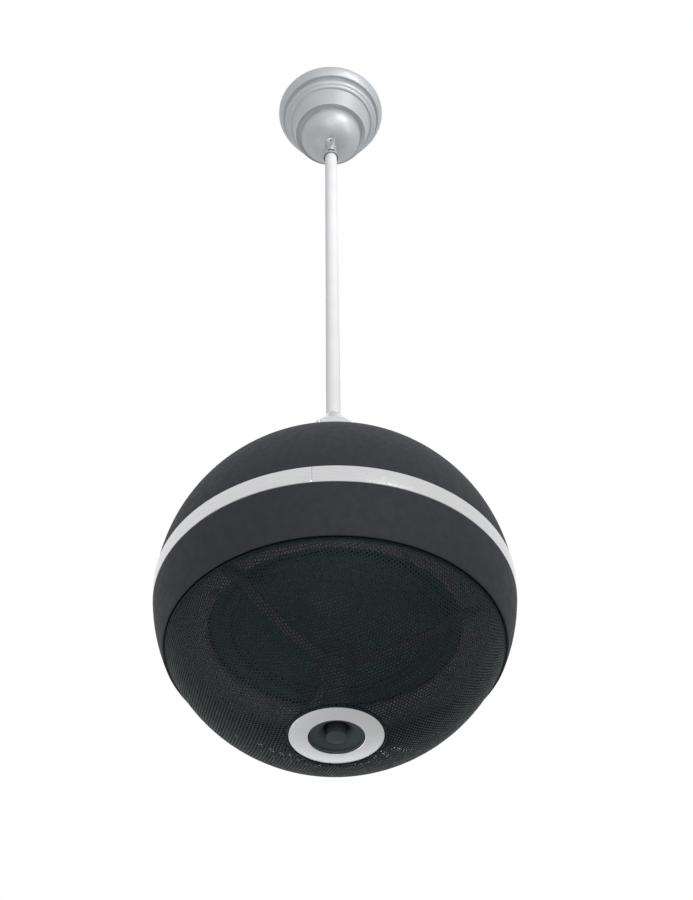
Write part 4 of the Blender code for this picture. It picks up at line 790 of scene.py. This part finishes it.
def make_cone():
    """The cone, with low ribs round it."""
    glue_end = (CONE_R - GLUE_WIDTH, FRAME_FRONT)
    front_side = [(CONE_R, FRAME_FRONT), glue_end]
    for radius, height in bowed(glue_end, (CONE_HOLE_R, CONE_NECK), CONE_BOW, CONE_STEPS):
        lift = RIB_HEIGHT * max(0, math.sin(2 * math.pi * (radius - CONE_HOLE_R) / RIB_PITCH))
        front_side.append((radius, height - lift))
    rear_side = [(radius, height + CONE_T) for radius, height in reversed(front_side)]
    turned("cone", front_side + rear_side, DRIVER_STEPS, "coated_paper", "woofer_cone")


def make_cap():
    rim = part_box("dust_cap")[1].z + DROP
    tip = rim - CAP_RISE
    bulge_r = (CAP_R**2 + CAP_RISE**2) / (2 * CAP_RISE)
    centre = tip + bulge_r
    outer = sphere_side(bulge_r, centre, rim, tip, CAP_STEPS)
    inner = sphere_side(bulge_r - CAP_T, centre, tip + CAP_T, rim, CAP_BACK_STEPS)
    inner[0] = (0, tip + CAP_T)
    outer[-1] = (0, tip)
    turned("cap", inner + outer, DRIVER_STEPS, "coated_paper", "dust_cap")


def make_inner_screws():
    """Screws in the place of the bridge's and the woofer's, with a cross recess in a head that faces down."""
    names = [f"bridge_screw_{letter}" for letter in "abc"] + [f"woofer_screw_{letter}" for letter in "abcd"]
    head_down = (-Vector((0, 0, 1))).to_track_quat("Z", "Y").to_matrix().to_4x4()
    for name in names:
        low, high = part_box(name)
        middle = (low + high) / 2
        length = (high.z - low.z) - HEAD_T
        outline = [(HEAD_R * across, HEAD_T * up) for across, up in HEAD_SIDE]
        outline += [(SCREW_R, 0), (SCREW_R, SCREW_R / 2 - length), (SCREW_R / 2, -length), (0, -length)]
        piece = turned(f"{name}_fine", outline, SCREW_STEPS, "zinc_screw", name, 0, "inner_screw")
        place = Matrix.Translation((middle.x, middle.y, low.z + HEAD_T)) @ head_down
        for turn in RECESS_TURNS:
            recess = box_cutter(f"{name}_recess_{turn}", RECESS, (0, 0, HEAD_T), turn)
            boolean(piece, recess)
            recess.matrix_world = place
        piece.matrix_world = place


# Camera, floor and lights


def make_camera():
    """The photograph's camera, aimed so that the ball's centre falls on BALL_PIXEL."""
    place = Vector((0, -math.cos(CAMERA_BELOW), -math.sin(CAMERA_BELOW))) * CAMERA_DISTANCE * BALL_R
    forward = -place.normalized()
    right = Vector((1, 0, 0))
    level = Matrix((right, -right.cross(forward), forward))
    across, down = BALL_PIXEL[0] - FRAME_WIDTH / 2, BALL_PIXEL[1] - FRAME_HEIGHT / 2
    aim = Vector((across, down, FOCAL_PIXELS)).normalized()
    yaw = Matrix.Rotation(math.atan2(aim.x, aim.z), 3, "Y")
    pitch = Matrix.Rotation(math.atan2(-aim.y, math.hypot(aim.x, aim.z)), 3, "X")
    rows = yaw @ pitch @ Matrix.Rotation(CAMERA_ROLL, 3, "Z") @ level
    data = bpy.data.cameras.new("camera")
    data.sensor_width = SENSOR
    data.lens = FOCAL_PIXELS * SENSOR / FRAME_HEIGHT
    data.clip_start = CLIP_START
    camera = bpy.data.objects.new("camera", data)
    bpy.context.scene.collection.objects.link(camera)
    columns = Matrix((rows[0], -rows[1], -rows[2])).transposed()
    camera.matrix_world = Matrix.Translation(place + Vector((0, 0, -DROP))) @ columns.to_4x4()
    bpy.context.scene.camera = camera


def make_stage():
    bpy.ops.mesh.primitive_plane_add(size=FLOOR_WIDTH, location=(0, 0, FLOOR))
    floor = bpy.context.object
    floor.name = "floor"
    pale = Surface("floor_pale", FLOOR_PALE, FLOOR_ROUGHNESS, metallic=0.0, specular=FLOOR_SPECULAR)
    pale.mottle(pale.noise(FLOOR_SCALE), FLOOR_PATCH)
    floor.data.materials.append(pale.material)


def make_world():
    """A world that lights at AMBIENT, and is white where the camera, gloss or glass shows it."""
    world = bpy.data.worlds.new("studio")
    bpy.context.scene.world = world
    world.use_nodes = True
    tree = world.node_tree
    tree.nodes.clear()
    path = tree.nodes.new("ShaderNodeLightPath")
    shown = path.outputs["Is Camera Ray"]
    for ray in ("Is Glossy Ray", "Is Transmission Ray"):
        either = tree.nodes.new("ShaderNodeMath")
        either.operation = "ADD"
        either.use_clamp = True
        tree.links.new(shown, either.inputs[0])
        tree.links.new(path.outputs[ray], either.inputs[1])
        shown = either.outputs[0]
    level = tree.nodes.new("ShaderNodeMapRange")
    level.inputs["To Min"].default_value = AMBIENT
    level.inputs["To Max"].default_value = 1.0
    tree.links.new(shown, level.inputs["Value"])
    background = tree.nodes.new("ShaderNodeBackground")
    background.inputs["Color"].default_value = (1, 1, 1, 1)
    tree.links.new(level.outputs["Result"], background.inputs["Strength"])
    output = tree.nodes.new("ShaderNodeOutputWorld")
    tree.links.new(background.outputs["Background"], output.inputs["Surface"])


def hang(name, data, place, target):
    """A lamp at a place, turned to its target."""
    holder = bpy.data.objects.new(name, data)
    holder.location = place
    aim = Vector(target) - Vector(place)
    holder.rotation_euler = aim.to_track_quat("-Z", "Y").to_euler()
    bpy.context.scene.collection.objects.link(holder)


def lamp(name, place, target, size, power):
    """A wide soft lamp."""
    data = bpy.data.lights.new(name, "AREA")
    data.shape = "DISK"
    data.size = size
    data.energy = power
    hang(name, data, place, target)


def beam(name, place, target, radius, power, spread):
    """A spot whose soft edge ends above the ball."""
    data = bpy.data.lights.new(name, "SPOT")
    data.shadow_soft_size = radius
    data.energy = power
    data.spot_size = math.radians(spread)
    data.spot_blend = BEAM_BLEND
    hang(name, data, place, target)


make_camera()
make_stage()
make_world()
lamp("key", (1.5, -2.4, -0.2), (0, 0, -0.6), 2.0, 26)
beam("rod", (1.5, -1.8, 0.0), (0, 0, -0.22), 0.35, 72, 20)
beam("side", (2.2, -0.9, -0.9), (0, 0, -0.04), 0.30, 48, 13)
lamp("front", (0.1, -2.6, -1.8), (0, 0, -0.85), 2.0, 20)
lamp("under", (-0.91, 0.63, -1.99), (0, 0, -0.8), 1.12, 6.9)

make_canopy()
make_collar()
make_tube()
make_thread("nipple_thread", "threaded_nipple")
make_thread("ball_thread", "ball_nipple")
make_coupler()
make_upper_shell()
make_band()
make_lower_shell()
make_grille()
make_ring()
make_horn()
make_plug()
make_baffle()
make_surround()
make_cone()
make_cap()
make_inner_screws()

bpy.context.scene.view_settings.view_transform = "Standard"
